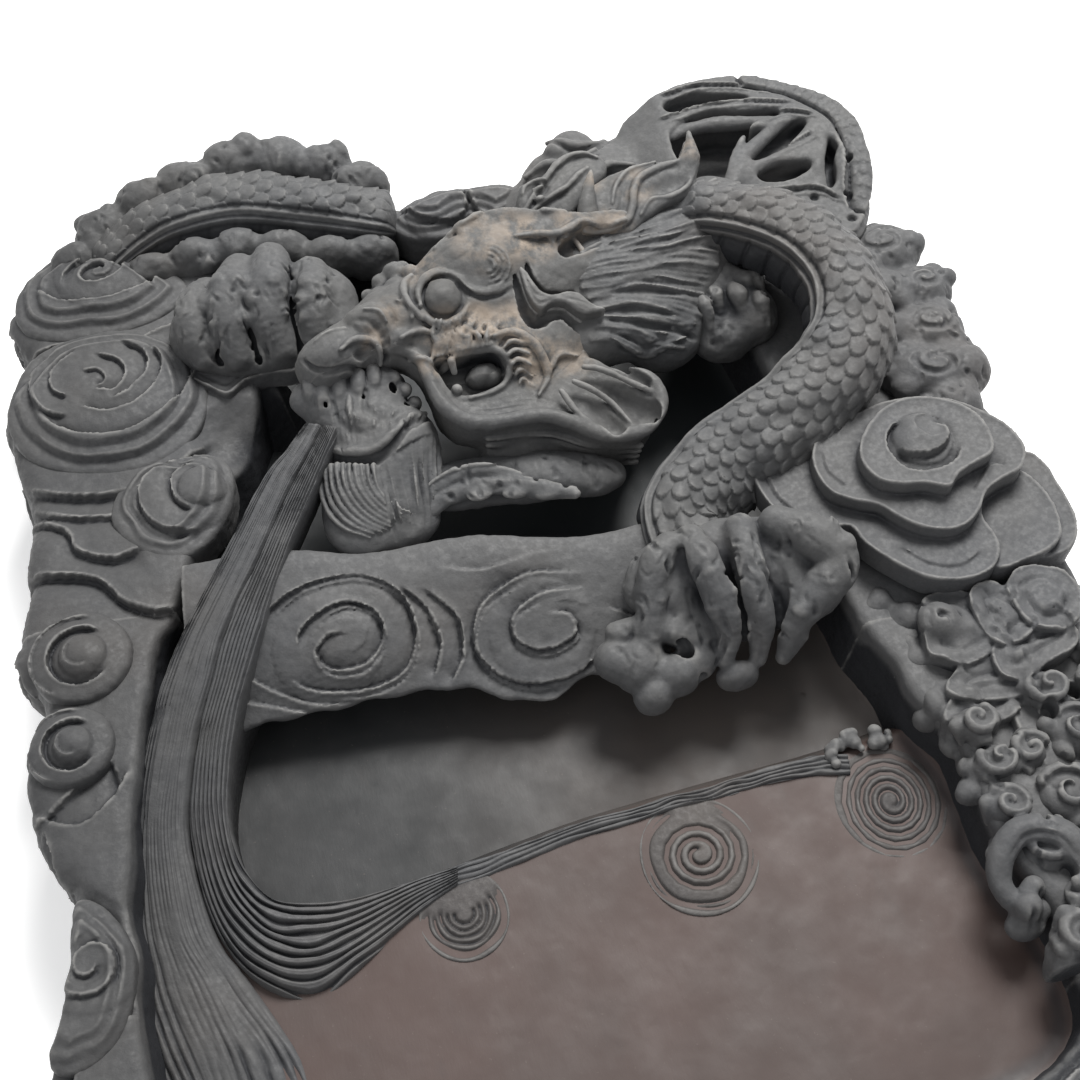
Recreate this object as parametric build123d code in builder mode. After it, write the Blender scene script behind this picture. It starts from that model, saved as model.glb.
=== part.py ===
"""Dragon inkstone: a slab of slate with an ink pool, a grinding bed, carved banks and a dragon in the round.

The stone is one carving. Each carved region is a solid of its own here, and each
later region is cut back to the ones before it, so that they meet face to face.
Millimetres. +Z is up, +X is right and +Y is away from the writer.
The origin is under the middle of the stone, on the table.
"""

import math
import os

from build123d import *

# ---------------------------------------------------------------- the stone
FLOOR_T = 18.0  # stone left under the ink pool
BED_RISE = 9.0  # grinding bed above the floor of the pool
LEFT_BANK_H = 46.0  # tops of the carved banks, above the table
RIGHT_BANK_H = 46.0
REAR_BANK_H = 44.0
FRONT_LIP_H = 38.0
FOOT_CHAMFER = 1.5

# Plan of the stone, counter-clockwise from the front left: lobes where clouds bulge out.
STONE_PLAN = [
    (-100, -171),
    (-50, -175),
    (0, -173),
    (55, -175),
    (105, -170),
    (140, -150),
    (147, -118),
    (143, -90),
    (148, -55),
    (146, -15),
    (148, 15),
    (140, 42),
    (142, 75),
    (137, 110),
    (126, 148),
    (88, 165),
    (45, 158),
    (8, 153),
    (-30, 161),
    (-75, 175),
    (-120, 162),
    (-145, 138),
    (-141, 113),
    (-148, 85),
    (-142, 45),
    (-148, 8),
    (-142, -12),
    (-148, -34),
    (-137, -66),
    (-139, -92),
    (-147, -118),
    (-138, -152),
]

# Plan of the well that the banks stand around, counter-clockwise from the front left.
WELL_PLAN = [
    (-106, -154),
    (-50, -162),
    (30, -163),
    (88, -155),
    (99, -132),
    (92, -105),
    (92, -80),
    (85, -58),
    (77, -30),
    (76, 0),
    (82, 40),
    (80, 80),
    (68, 112),
    (35, 136),
    (-5, 141),
    (-45, 146),
    (-62, 130),
    (-68, 104),
    (-72, 78),
    (-84, 50),
    (-97, 22),
    (-108, 0),
    (-116, -30),
    (-120, -65),
    (-120, -105),
    (-116, -138),
]

# Where one bank ends and the next begins.
LIP_Y = -138.0
LEFT_MIDDLE_Y = 12.0
REAR_LEFT_Y = 108.0
REAR_RIGHT_Y = 96.0
RIGHT_MIDDLE_Y = -36.0
REAR_MIDDLE_X = 26.0
FAR = 200.0  # beyond the stone on every side

# ---------------------------------------------------------------- the grinding bed
BED_EDGE = [(-124, -52), (-90, -66), (-50, -72), (0, -67), (45, -63), (104, -54)]
BED_EDGE_SLOPE = 5.0  # chamfer where the bed runs down into the pool
WAVE_W = 6.0  # width of the crest along the edge of the bed
WAVE_H = 2.5
WAVE_ENDS = (-86.0, 82.0)
MEDALLION_H = 1.4
MEDALLIONS = [(-42, -93, 9.0), (22, -87, 10.0), (68, -83, 11.0)]  # x, y, radius

# ---------------------------------------------------------------- clouds on the banks
CLOUD_H = 7.0
INNER_CLOUD_H = 5.0
CLOUD_EDGE = 1.5
LEFT_REAR_CLOUD = [(-141, 130), (-122, 119), (-98, 117), (-86, 126), (-98, 134), (-118, 146), (-136, 148)]
LEFT_MIDDLE_CLOUD = [(-141, 84), (-130, 66), (-106, 62), (-90, 74), (-92, 98), (-112, 110), (-136, 104)]
LEFT_INNER_CLOUD = [(-112, 44), (-100, 30), (-89, 42), (-83, 56), (-94, 62), (-108, 58)]
LEFT_FRONT_CLOUD = [(-142, -88), (-134, -104), (-124, -92), (-122, -70), (-130, -56), (-138, -68)]
REAR_CLOUD = [(-14, 144), (-4, 134), (14, 133), (24, 140), (18, 150), (0, 152)]
KNOB_H = 6.0
LEFT_KNOBS = [(-128, -2, 12.0), (-131, -28, 10.0), (-126, 26, 9.0)]  # x, y, radius
RIGHT_REAR_KNOBS = [(131, 82, 8.0), (127, 64, 8.0), (130, 46, 7.0), (118, 38, 6.0)]
RIGHT_CURLS = [(102, -51, 9.0), (117, -67, 9.0), (104, -84, 9.0), (120, -100, 8.0), (104, -114, 9.0)]
BIG_CLOUD_STEP = 5.0
BIG_CLOUD_LAYERS = [
    [(56, 6), (66, -8), (84, -14), (98, -36), (122, -38), (142, -10), (137, 18), (108, 30), (76, 28), (60, 18)],
    [(76, 8), (86, -6), (100, -18), (120, -20), (138, -4), (134, 15), (108, 26), (88, 22)],
    [(88, 10), (98, -4), (114, -9), (130, 0), (130, 14), (110, 23), (94, 18)],
    [(99, 9), (106, 1), (118, 1), (124, 9), (114, 17), (103, 15)],
]

# ---------------------------------------------------------------- the scroll bridge
BRIDGE_ENDS = (-96.0, 26.0)
BRIDGE_SKEW = -6.0  # the right end stands a little nearer to the writer
BRIDGE_TOP = 50.0
BRIDGE_UNDER = 32.0
BRIDGE_LIP = 4.0  # thickness of its lower front edge
BRIDGE_BACK_Y = 8.0
BRIDGE_TOP_W = 11.0
BRIDGE_FRONT_Y = -27.0  # lower front edge, in the middle of the bridge
BRIDGE_MIDDLE_X = -35.0

# ---------------------------------------------------------------- the dragon
BODY_R = 14.5
BODY_PATH = [(-112, 148, -4), (-92, 156, 0), (-68, 158, 1), (-44, 151, 0), (-18, 143, -3)]  # x, y, above the bank
NECK_R = 14.0
NECK_PATH = [
    (52, 108, 60),
    (76, 101, 64),
    (96, 84, 66),
    (104, 58, 67),
    (93, 33, 66),
    (68, 20, 63),
    (42, 11, 58),
    (30, -8, 52),
]
FAN_H = 28.0  # the flaming tail above the rear bank
FAN_PLAN = [(50, 138), (62, 156), (90, 160), (116, 150), (131, 128), (131, 106), (116, 96), (98, 108), (76, 120)]
FAN_CENTRE = (94, 130)
FAN_CREST = 0.72  # size of its top, as a share of its foot

HEAD_AT = (-6.0, 79.0, 64.0)
HEAD_TURN = 16.0  # the muzzle points left and a little forward
HEAD_LEAN = 15.0  # of the crown, up from lying on its side
# Sections of the head and what hangs from it: place along the head, height over the
# line of the mouth, depth, half height and half thickness.
SKULL = [
    (-55, 6, 2, 5, 6),
    (-46, 7, 2, 8, 10),
    (-32, 6, 1, 11, 12),
    (-14, 6, 0, 16, 14),
    (6, 6, 0, 20, 15),
    (24, 5, 0, 20, 15),
    (44, 4, 0, 15, 12),
]
JAW = [(-18, -16, -2, 7, 6), (-8, -21, -2, 9, 8), (8, -27, -2, 12, 9), (26, -34, -1, 16, 8), (42, -36, 0, 13, 5)]
MANE = [(46, 1, -2, 17, 10), (58, 3, 0, 15, 9), (70, 7, 1, 12, 7)]
HORN = [(40, 15, 6, 6, 5), (58, 18, 8, 5, 4), (76, 20, 10, 4.5, 4), (88, 24, 14, 2.5, 2.5)]
EAR = [(16, 6, 13, 3, 3), (24, 1, 14, 5, 3.5), (32, -5, 13, 5, 3), (38, -10, 11, 2, 2)]
EYE_AT = (-6.0, 9.0, 11.0)
EYE_R = 5.5

# Sections across the water and the beard: centre, half width and half height.
SPOUT = [
    ((-42, 52, 66), 6, 5),
    ((-58, 42, 61), 7, 5),
    ((-74, 25, 53), 9, 6),
    ((-88, 4, 45), 11.5, 7),
    ((-98, -18, 38), 13.5, 7),
    ((-103, -42, 32), 14, 7),
    ((-104, -66, 29), 14, 6),
    ((-98, -88, 27.5), 14, 3.5),
]
BEARD = [((-36, 66, 58), 8, 7), ((-43, 50, 55), 11, 8), ((-47, 34, 50), 12, 7), ((-46, 14, 44), 11, 5)]
WHISKER_R = 2.6
WHISKER_PATH = [(-38, 14, 44), (-30, 25, 48), (-14, 30, 51), (2, 27, 53), (18, 16, 53)]

TOE_R = 5.5
HIND_PALM = ((-66, 114, LEFT_BANK_H + 7), (24, 13, 9))  # centre and half sizes
HIND_TOES = [  # knuckle and tip
    ((-82, 104, LEFT_BANK_H + 8), (-87, 84, LEFT_BANK_H + 4)),
    ((-74, 102, LEFT_BANK_H + 10), (-76, 78, LEFT_BANK_H + 4)),
    ((-62, 101, LEFT_BANK_H + 10), (-61, 76, LEFT_BANK_H + 4)),
    ((-51, 102, LEFT_BANK_H + 8), (-46, 78, LEFT_BANK_H + 4)),
]
FRONT_PALM = ((44, -12, 50), (22, 10, 8))
FRONT_TOES = [
    ((30, -18, 50), (19, -36, 40)),
    ((39, -20, 51), (32, -42, 39)),
    ((49, -20, 51), (46, -42, 40)),
    ((58, -17, 51), (66, -32, 46)),
]


def outline(points):
    """A closed smooth line through points of the plan."""
    with BuildLine(mode=Mode.PRIVATE) as line:
        Spline(*points, periodic=True)
    return line.line


def rectangle(low, high):
    """A closed rectangle of the plan between two corners."""
    with BuildLine(mode=Mode.PRIVATE) as line:
        Polyline(low, (high[0], low[1]), high, (low[0], high[1]), close=True)
    return line.line


def cut_back(*neighbours):
    """Cuts the current part back to regions that are already there."""
    for other in neighbours:
        add(other.part, mode=Mode.SUBTRACT)


# ================================================================ slab and banks
with BuildPart() as slab:
    with BuildSketch(Plane.XY):
        make_face(outline(STONE_PLAN))
    extrude(amount=FLOOR_T)
    chamfer(slab.faces().sort_by(Axis.Z)[0].edges(), FOOT_CHAMFER)


def bank(height, low, high):
    """The part of the carved rim that lies in a rectangle of the plan, up to a height."""
    with BuildPart() as piece:
        with BuildSketch(Plane.XY.offset(FLOOR_T)):
            make_face(outline(STONE_PLAN))
            make_face(outline(WELL_PLAN), mode=Mode.SUBTRACT)
            make_face(rectangle(low, high), mode=Mode.INTERSECT)
        extrude(amount=height - FLOOR_T)
    return piece


front_lip = bank(FRONT_LIP_H, (-FAR, -FAR), (FAR, LIP_Y))
left_lower_bank = bank(LEFT_BANK_H, (-FAR, LIP_Y), (0, LEFT_MIDDLE_Y))
left_upper_bank = bank(LEFT_BANK_H, (-FAR, LEFT_MIDDLE_Y), (0, REAR_LEFT_Y))
rear_left_bank = bank(REAR_BANK_H, (-FAR, REAR_LEFT_Y), (REAR_MIDDLE_X, FAR))
rear_right_bank = bank(REAR_BANK_H, (REAR_MIDDLE_X, REAR_RIGHT_Y), (FAR, FAR))
right_upper_bank = bank(RIGHT_BANK_H, (0, RIGHT_MIDDLE_Y), (FAR, REAR_RIGHT_Y))
right_lower_bank = bank(RIGHT_BANK_H, (0, LIP_Y), (FAR, RIGHT_MIDDLE_Y))


# ================================================================ grinding bed
def edge_band(back, front):
    """A closed outline along the edge of the bed, between two shifts of it along Y."""
    with BuildLine(mode=Mode.PRIVATE) as line:
        far_side = Spline(*[(x, y + back) for x, y in BED_EDGE])
        near_side = Spline(*[(x, y + front) for x, y in BED_EDGE])
        Line(far_side @ 0, near_side @ 0)
        Line(far_side @ 1, near_side @ 1)
    return line.line


BED_TOP = FLOOR_T + BED_RISE

with BuildPart() as grinding_bed:
    with BuildSketch(Plane.XY.offset(FLOOR_T)):
        make_face(outline(WELL_PLAN))
        make_face(edge_band(0, -FAR), mode=Mode.INTERSECT)
    extrude(amount=BED_RISE)
    chamfer(grinding_bed.edges().group_by(Axis.Z)[-1].sort_by(Axis.Y)[-1], BED_EDGE_SLOPE)

with BuildPart() as wave_crest:
    with BuildSketch(Plane.XY.offset(BED_TOP)):
        make_face(edge_band(-BED_EDGE_SLOPE, -BED_EDGE_SLOPE - WAVE_W))
        make_face(rectangle((WAVE_ENDS[0], -FAR), (WAVE_ENDS[1], FAR)), mode=Mode.INTERSECT)
    extrude(amount=WAVE_H)

with BuildPart() as medallions:
    with BuildSketch(Plane.XY.offset(BED_TOP)):
        for x, y, radius in MEDALLIONS:
            with Locations((x, y)):
                Circle(radius)
    extrude(amount=MEDALLION_H)
    cut_back(wave_crest)

# ================================================================ the dragon's rear body
def bent_path(points):
    """Straight runs joined by arcs, each as large as its two runs allow."""
    radii = []
    for before, corner, after in zip(points, points[1:], points[2:]):
        run_in = Vector(*corner) - Vector(*before)
        run_out = Vector(*after) - Vector(*corner)
        turn = math.radians(run_in.get_angle(run_out))
        radii.append(0.45 * min(run_in.length, run_out.length) / math.tan(turn / 2))
    with BuildLine(mode=Mode.PRIVATE) as line:
        FilletPolyline(*points, radius=radii)
    return line.line


with BuildPart() as dragon_rear_body:
    body_line = bent_path([(x, y, REAR_BANK_H + rise) for x, y, rise in BODY_PATH])
    with BuildSketch(Plane(origin=body_line @ 0, z_dir=body_line % 0)):
        Circle(BODY_R)
    sweep(path=body_line)
    split(bisect_by=Plane.XY.offset(REAR_BANK_H), keep=Keep.TOP)  # it lies flat on the rear bank

# ================================================================ clouds on the banks
def cloud(points, ground, height=CLOUD_H, neighbours=()):
    """A flat cloud with a softened rim, standing on a bank."""
    with BuildPart() as piece:
        with BuildSketch(Plane.XY.offset(ground)):
            make_face(outline(points))
        extrude(amount=height)
        chamfer(piece.edges().group_by(Axis.Z)[-1], CLOUD_EDGE)
        cut_back(*neighbours)
    return piece


def knobs(places, ground):
    """Round scroll ends standing on a bank."""
    with BuildPart() as piece:
        with BuildSketch(Plane.XY.offset(ground)):
            for x, y, radius in places:
                with Locations((x, y)):
                    Circle(radius)
        extrude(amount=KNOB_H)
        chamfer(piece.edges().group_by(Axis.Z)[-1], CLOUD_EDGE)
    return piece


left_rear_cloud = cloud(LEFT_REAR_CLOUD, REAR_BANK_H, neighbours=[dragon_rear_body])
left_middle_cloud = cloud(LEFT_MIDDLE_CLOUD, LEFT_BANK_H)
left_inner_cloud = cloud(LEFT_INNER_CLOUD, LEFT_BANK_H, INNER_CLOUD_H)
left_front_cloud = cloud(LEFT_FRONT_CLOUD, LEFT_BANK_H)
rear_cloud = cloud(REAR_CLOUD, REAR_BANK_H, neighbours=[dragon_rear_body])
left_scroll_knobs = knobs(LEFT_KNOBS, LEFT_BANK_H)
right_rear_knobs = knobs(RIGHT_REAR_KNOBS, RIGHT_BANK_H)
right_wave_curls = knobs(RIGHT_CURLS, RIGHT_BANK_H)

with BuildPart() as big_cloud:
    for level, points in enumerate(BIG_CLOUD_LAYERS):
        with BuildSketch(Plane.XY.offset(RIGHT_BANK_H + level * BIG_CLOUD_STEP)):
            make_face(outline(points))
        extrude(amount=BIG_CLOUD_STEP)

# ================================================================ scroll bridge
bridge_plane = Plane(
    origin=(BRIDGE_MIDDLE_X, 0, 0),
    x_dir=(-math.sin(math.radians(BRIDGE_SKEW)), math.cos(math.radians(BRIDGE_SKEW)), 0),
    z_dir=(math.cos(math.radians(BRIDGE_SKEW)), math.sin(math.radians(BRIDGE_SKEW)), 0),
)
with BuildPart() as scroll_bridge:
    with BuildSketch(bridge_plane.offset(BRIDGE_ENDS[0] - BRIDGE_MIDDLE_X)):
        with BuildLine():
            Polyline(
                (BRIDGE_BACK_Y, BRIDGE_UNDER),
                (BRIDGE_BACK_Y, BRIDGE_TOP),
                (BRIDGE_BACK_Y - BRIDGE_TOP_W, BRIDGE_TOP),
                (BRIDGE_FRONT_Y, BRIDGE_UNDER + BRIDGE_LIP),
                (BRIDGE_FRONT_Y, BRIDGE_UNDER),
                close=True,
            )
        make_face()
    extrude(amount=BRIDGE_ENDS[1] - BRIDGE_ENDS[0])


# ================================================================ the dragon's neck
with BuildPart() as neck:
    neck_line = bent_path(NECK_PATH)
    with BuildSketch(Plane(origin=neck_line @ 0, z_dir=neck_line % 0)):
        Circle(NECK_R)
    sweep(path=neck_line)
    cut_back(right_upper_bank, rear_right_bank, big_cloud, scroll_bridge)

# ================================================================ the dragon's head
turn, lean = math.radians(HEAD_TURN), math.radians(HEAD_LEAN)
ALONG = Vector(math.cos(turn), math.sin(turn), 0)  # from the muzzle to the nape
CROWN = Vector(-math.sin(turn) * math.cos(lean), math.cos(turn) * math.cos(lean), math.sin(lean))
OUT = ALONG.cross(CROWN)  # out of the cheek that faces up


def head_point(along, up, out):
    """A point of the head in the frame of the stone."""
    return Vector(*HEAD_AT) + ALONG * along + CROWN * up + OUT * out


def head_sections(sections):
    """Ellipses across the head, ready for a loft."""
    faces = []
    for along, up, out, half_height, half_thickness in sections:
        with BuildSketch(Plane(origin=head_point(along, up, out), x_dir=CROWN, z_dir=ALONG)) as section:
            Ellipse(half_height, half_thickness)
        faces.append(section.sketch.face())
    return faces


with BuildPart() as head:
    loft(head_sections(SKULL))
    with Locations(head_point(*EYE_AT)):
        Sphere(EYE_R)
    cut_back(neck)

with BuildPart() as lower_jaw:
    loft(head_sections(JAW))
    cut_back(head, neck)

with BuildPart() as mane:
    loft(head_sections(MANE))
    cut_back(head, neck)

with BuildPart() as horns:
    loft(head_sections(HORN))
    cut_back(head, mane, neck)

with BuildPart() as ear:
    loft(head_sections(EAR))
    cut_back(head, mane, horns)

fan_middle = Vector(*FAN_CENTRE)
fan_crest = [fan_middle + (Vector(*point) - fan_middle) * FAN_CREST for point in FAN_PLAN]
with BuildPart() as tail_fan:
    with BuildSketch(Plane.XY.offset(REAR_BANK_H)):
        make_face(outline(FAN_PLAN))
    with BuildSketch(Plane.XY.offset(REAR_BANK_H + FAN_H)):
        make_face(outline(fan_crest))
    loft()
    cut_back(neck, mane, horns)


# ================================================================ water, beard and whisker
def stream_sections(sections):
    """Ellipses across a stream, level from side to side, ready for a loft."""
    centres = [Vector(*centre) for centre, _, _ in sections]
    faces = []
    for index, (_, half_width, half_height) in enumerate(sections):
        before = centres[max(index - 1, 0)]
        after = centres[min(index + 1, len(centres) - 1)]
        flow = after - before
        level = Vector(-flow.Y, flow.X, 0)
        with BuildSketch(Plane(origin=centres[index], x_dir=level, z_dir=flow)) as section:
            Ellipse(half_width, half_height)
        faces.append(section.sketch.face())
    return faces


with BuildPart() as water_spout:
    loft(stream_sections(SPOUT))
    cut_back(grinding_bed, scroll_bridge, left_lower_bank, left_upper_bank, wave_crest, head)

with BuildPart() as beard:
    loft(stream_sections(BEARD))
    cut_back(scroll_bridge, water_spout, head, lower_jaw)

with BuildPart() as whisker:
    whisker_line = bent_path(WHISKER_PATH)
    with BuildSketch(Plane(origin=whisker_line @ 0, z_dir=whisker_line % 0)):
        Circle(WHISKER_R)
    sweep(path=whisker_line)
    cut_back(scroll_bridge, beard, lower_jaw, neck)


# ================================================================ claws
def paw(palm, toes, *neighbours):
    """A palm with toes that run out of it, resting against its neighbours."""
    centre, half_sizes = palm
    with BuildPart() as piece:
        with BuildSketch(Plane.XY.offset(centre[2] - half_sizes[2])):
            with Locations(centre[:2]):
                Ellipse(half_sizes[0], half_sizes[1])
        extrude(amount=2 * half_sizes[2])
        chamfer(piece.edges().group_by(Axis.Z)[-1], CLOUD_EDGE * 2)
        for knuckle, tip in toes:
            toe_line = Line(knuckle, tip)
            with BuildSketch(Plane(origin=toe_line @ 0, z_dir=toe_line % 0)):
                Circle(TOE_R)
            extrude(amount=toe_line.length)
            with Locations(toe_line @ 0, toe_line @ 1):
                Sphere(TOE_R)
        cut_back(*neighbours)
    return piece


rear_neighbours = (left_upper_bank, rear_left_bank, left_rear_cloud, left_middle_cloud, dragon_rear_body, head)
hind_claw = paw(HIND_PALM, HIND_TOES, *rear_neighbours)
front_claw = paw(FRONT_PALM, FRONT_TOES, scroll_bridge, neck, big_cloud, right_upper_bank)

# ================================================================ the finished pieces
pieces = {
    "slab": slab,
    "front_lip": front_lip,
    "left_lower_bank": left_lower_bank,
    "left_upper_bank": left_upper_bank,
    "rear_left_bank": rear_left_bank,
    "rear_right_bank": rear_right_bank,
    "right_upper_bank": right_upper_bank,
    "right_lower_bank": right_lower_bank,
    "grinding_bed": grinding_bed,
    "wave_crest": wave_crest,
    "medallions": medallions,
    "left_rear_cloud": left_rear_cloud,
    "left_middle_cloud": left_middle_cloud,
    "left_inner_cloud": left_inner_cloud,
    "left_front_cloud": left_front_cloud,
    "left_scroll_knobs": left_scroll_knobs,
    "rear_cloud": rear_cloud,
    "big_cloud": big_cloud,
    "right_rear_knobs": right_rear_knobs,
    "right_wave_curls": right_wave_curls,
    "scroll_bridge": scroll_bridge,
    "dragon_rear_body": dragon_rear_body,
    "hind_claw": hind_claw,
    "tail_fan": tail_fan,
    "neck": neck,
    "head": head,
    "lower_jaw": lower_jaw,
    "mane": mane,
    "horns": horns,
    "ear": ear,
    "beard": beard,
    "whisker": whisker,
    "front_claw": front_claw,
    "water_spout": water_spout,
}
os.makedirs("parts", exist_ok=True)
for name, piece in pieces.items():
    piece.part.label = name
    export_step(piece.part, f"parts/{name}.step")
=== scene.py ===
"""Looks of the dragon inkstone: every carved region of the slab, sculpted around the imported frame.

Each region is carved in a block of voxels ("clay") and skinned, or, where it is scales or
running water, swept along a line. All sizes here are millimetres in the frame of the stone: +X to the
writer's right, +Y away from the writer, +Z up. They become metres when a mesh is made.
"""
import math

import bpy
import numpy as np
import openvdb as vdb
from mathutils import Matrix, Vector


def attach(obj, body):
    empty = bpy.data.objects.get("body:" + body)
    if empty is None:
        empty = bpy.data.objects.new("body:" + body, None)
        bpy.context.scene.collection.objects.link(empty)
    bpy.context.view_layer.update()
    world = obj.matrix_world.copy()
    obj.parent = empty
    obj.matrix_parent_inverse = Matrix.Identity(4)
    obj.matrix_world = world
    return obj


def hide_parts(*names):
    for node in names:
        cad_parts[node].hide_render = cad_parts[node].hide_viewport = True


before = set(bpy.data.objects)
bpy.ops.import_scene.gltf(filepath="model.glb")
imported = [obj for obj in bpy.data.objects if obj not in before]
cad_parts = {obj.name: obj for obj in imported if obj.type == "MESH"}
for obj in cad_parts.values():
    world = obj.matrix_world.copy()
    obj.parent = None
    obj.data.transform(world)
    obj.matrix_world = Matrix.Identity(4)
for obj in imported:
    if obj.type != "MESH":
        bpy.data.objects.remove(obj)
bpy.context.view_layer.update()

MM = 0.001
FAR = 40.0  # a distance that counts as outside

# ---------------------------------------------------------------- sizes of the stone
FLOOR_Z = 18.0
BED_Z = 27.0
BANK_Z = 46.0
REAR_Z = 44.0
LIP_Z = 38.0

STONE_PLAN = [(-100, -171), (-50, -175), (0, -173), (55, -175), (105, -170), (140, -150), (147, -118),
              (143, -90), (148, -55), (146, -15), (148, 15), (140, 42), (142, 75), (137, 110),
              (126, 148), (88, 165), (45, 158), (8, 153), (-30, 161), (-75, 175), (-120, 162),
              (-145, 138), (-141, 113), (-148, 85), (-142, 45), (-148, 8), (-142, -12), (-148, -34),
              (-137, -66), (-139, -92), (-147, -118), (-138, -152)]
WELL_PLAN = [(-106, -154), (-50, -162), (30, -163), (88, -155), (99, -132), (92, -105), (92, -80),
             (85, -58), (77, -30), (76, 0), (82, 40), (80, 80), (68, 112), (35, 136), (-5, 141),
             (-45, 146), (-62, 130), (-68, 104), (-72, 78), (-84, 50), (-97, 22), (-108, 0),
             (-116, -30), (-120, -65), (-120, -105), (-116, -138)]


# ================================================================ curves and distances
def smooth_curve(points, closed=False, parts=6):
    """Points of a smooth curve through the given ones."""
    p = np.array(points, dtype=float)
    if closed:
        before, start, end, after = np.roll(p, 1, 0), p, np.roll(p, -1, 0), np.roll(p, -2, 0)
    else:
        p = np.vstack([2 * p[0] - p[1], p, 2 * p[-1] - p[-2]])
        before, start, end, after = p[:-3], p[1:-2], p[2:-1], p[3:]
    runs = []
    for t in np.arange(parts) / parts:
        runs.append(0.5 * (2 * start + (end - before) * t
                           + (2 * before - 5 * start + 4 * end - after) * t ** 2
                           + (3 * start - before - 3 * end + after) * t ** 3))
    curve = np.stack(runs, 1).reshape(-1, p.shape[1])
    if not closed:
        curve = np.vstack([curve, p[-2]])
    return curve


def spiral_points(centre, radius, turns, start=0.0, hand=1, squash=1.0, inner=0.12, tilt=0.0):
    """A spiral from its outer end, at the angle start, in to its eye."""
    t = np.linspace(0, 1, int(14 * turns) + 4)
    r = radius * ((1 - t) * (1 - inner) + inner)
    a = start + hand * t * turns * 2 * math.pi
    x, y = r * np.cos(a), r * np.sin(a) * squash
    return np.stack([centre[0] + x * math.cos(tilt) - y * math.sin(tilt),
                     centre[1] + x * math.sin(tilt) + y * math.cos(tilt)], 1)


def smooth_min(a, b, k):
    """The union of two distances, with a fillet of about k."""
    if k <= 0:
        return np.minimum(a, b)
    h = np.maximum(k - np.abs(a - b), 0) / k
    return np.minimum(a, b) - h * h * (k / 4)


def smooth_max(a, b, k):
    """What two distances share, with an edge rounded by about k."""
    return -smooth_min(-a, -b, k)


def step_up(x, low, high):
    """0 below low, 1 above high, smooth between."""
    t = np.clip((x - low) / (high - low), 0, 1)
    return t * t * (3 - 2 * t)


def inside_distance(x, y, outline):
    """Distance to a closed outline, negative inside it."""
    best = np.full(x.shape, 1e9, np.float32)
    crossings = np.zeros(x.shape, bool)
    for (px, py), (qx, qy) in zip(outline, np.roll(outline, -1, 0)):
        ex, ey = qx - px, qy - py
        dx, dy = x - px, y - py
        t = np.clip((dx * ex + dy * ey) / (ex * ex + ey * ey + 1e-9), 0, 1)
        best = np.minimum(best, (dx - ex * t) ** 2 + (dy - ey * t) ** 2)
        straddles = (py > y) != (qy > y)
        crossings ^= straddles & (x < ex * (y - py) / (ey + (1e-9 if ey == 0 else 0)) + px)
    best = np.sqrt(best)
    return np.where(crossings, -best, best)


def line_distance(x, y, points):
    """Distance to an open line, the side of it (+1 on its left) and the place along it, 0 to 1."""
    best = np.full(x.shape, 1e9, np.float32)
    side = np.ones(x.shape, np.float32)
    place = np.zeros(x.shape, np.float32)
    count = len(points) - 1
    for i in range(count):
        (px, py), (qx, qy) = points[i], points[i + 1]
        ex, ey = qx - px, qy - py
        dx, dy = x - px, y - py
        t = np.clip((dx * ex + dy * ey) / (ex * ex + ey * ey + 1e-9), 0, 1)
        d = (dx - ex * t) ** 2 + (dy - ey * t) ** 2
        nearer = d < best
        best = np.where(nearer, d, best)
        side = np.where(nearer, np.sign(ex * dy - ey * dx), side)
        place = np.where(nearer, (i + t) / count, place)
    return np.sqrt(best), side, place


def smooth_noise(shape, cells, rng):
    """Soft random heights between -1 and 1, from a coarse random grid."""
    grid = rng.random((cells[0] + 3, cells[1] + 3)) * 2 - 1
    u = np.linspace(0, cells[0], shape[0], endpoint=False)
    v = np.linspace(0, cells[1], shape[1], endpoint=False)
    iu, iv = u.astype(int), v.astype(int)
    fu, fv = (u - iu)[:, None], (v - iv)[None, :]
    fu, fv = fu * fu * (3 - 2 * fu), fv * fv * (3 - 2 * fv)
    a, b = grid[iu][:, iv], grid[iu + 1][:, iv]
    c, d = grid[iu][:, iv + 1], grid[iu + 1][:, iv + 1]
    return (a * (1 - fu) + b * fu) * (1 - fv) + (c * (1 - fu) + d * fu) * fv


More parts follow.
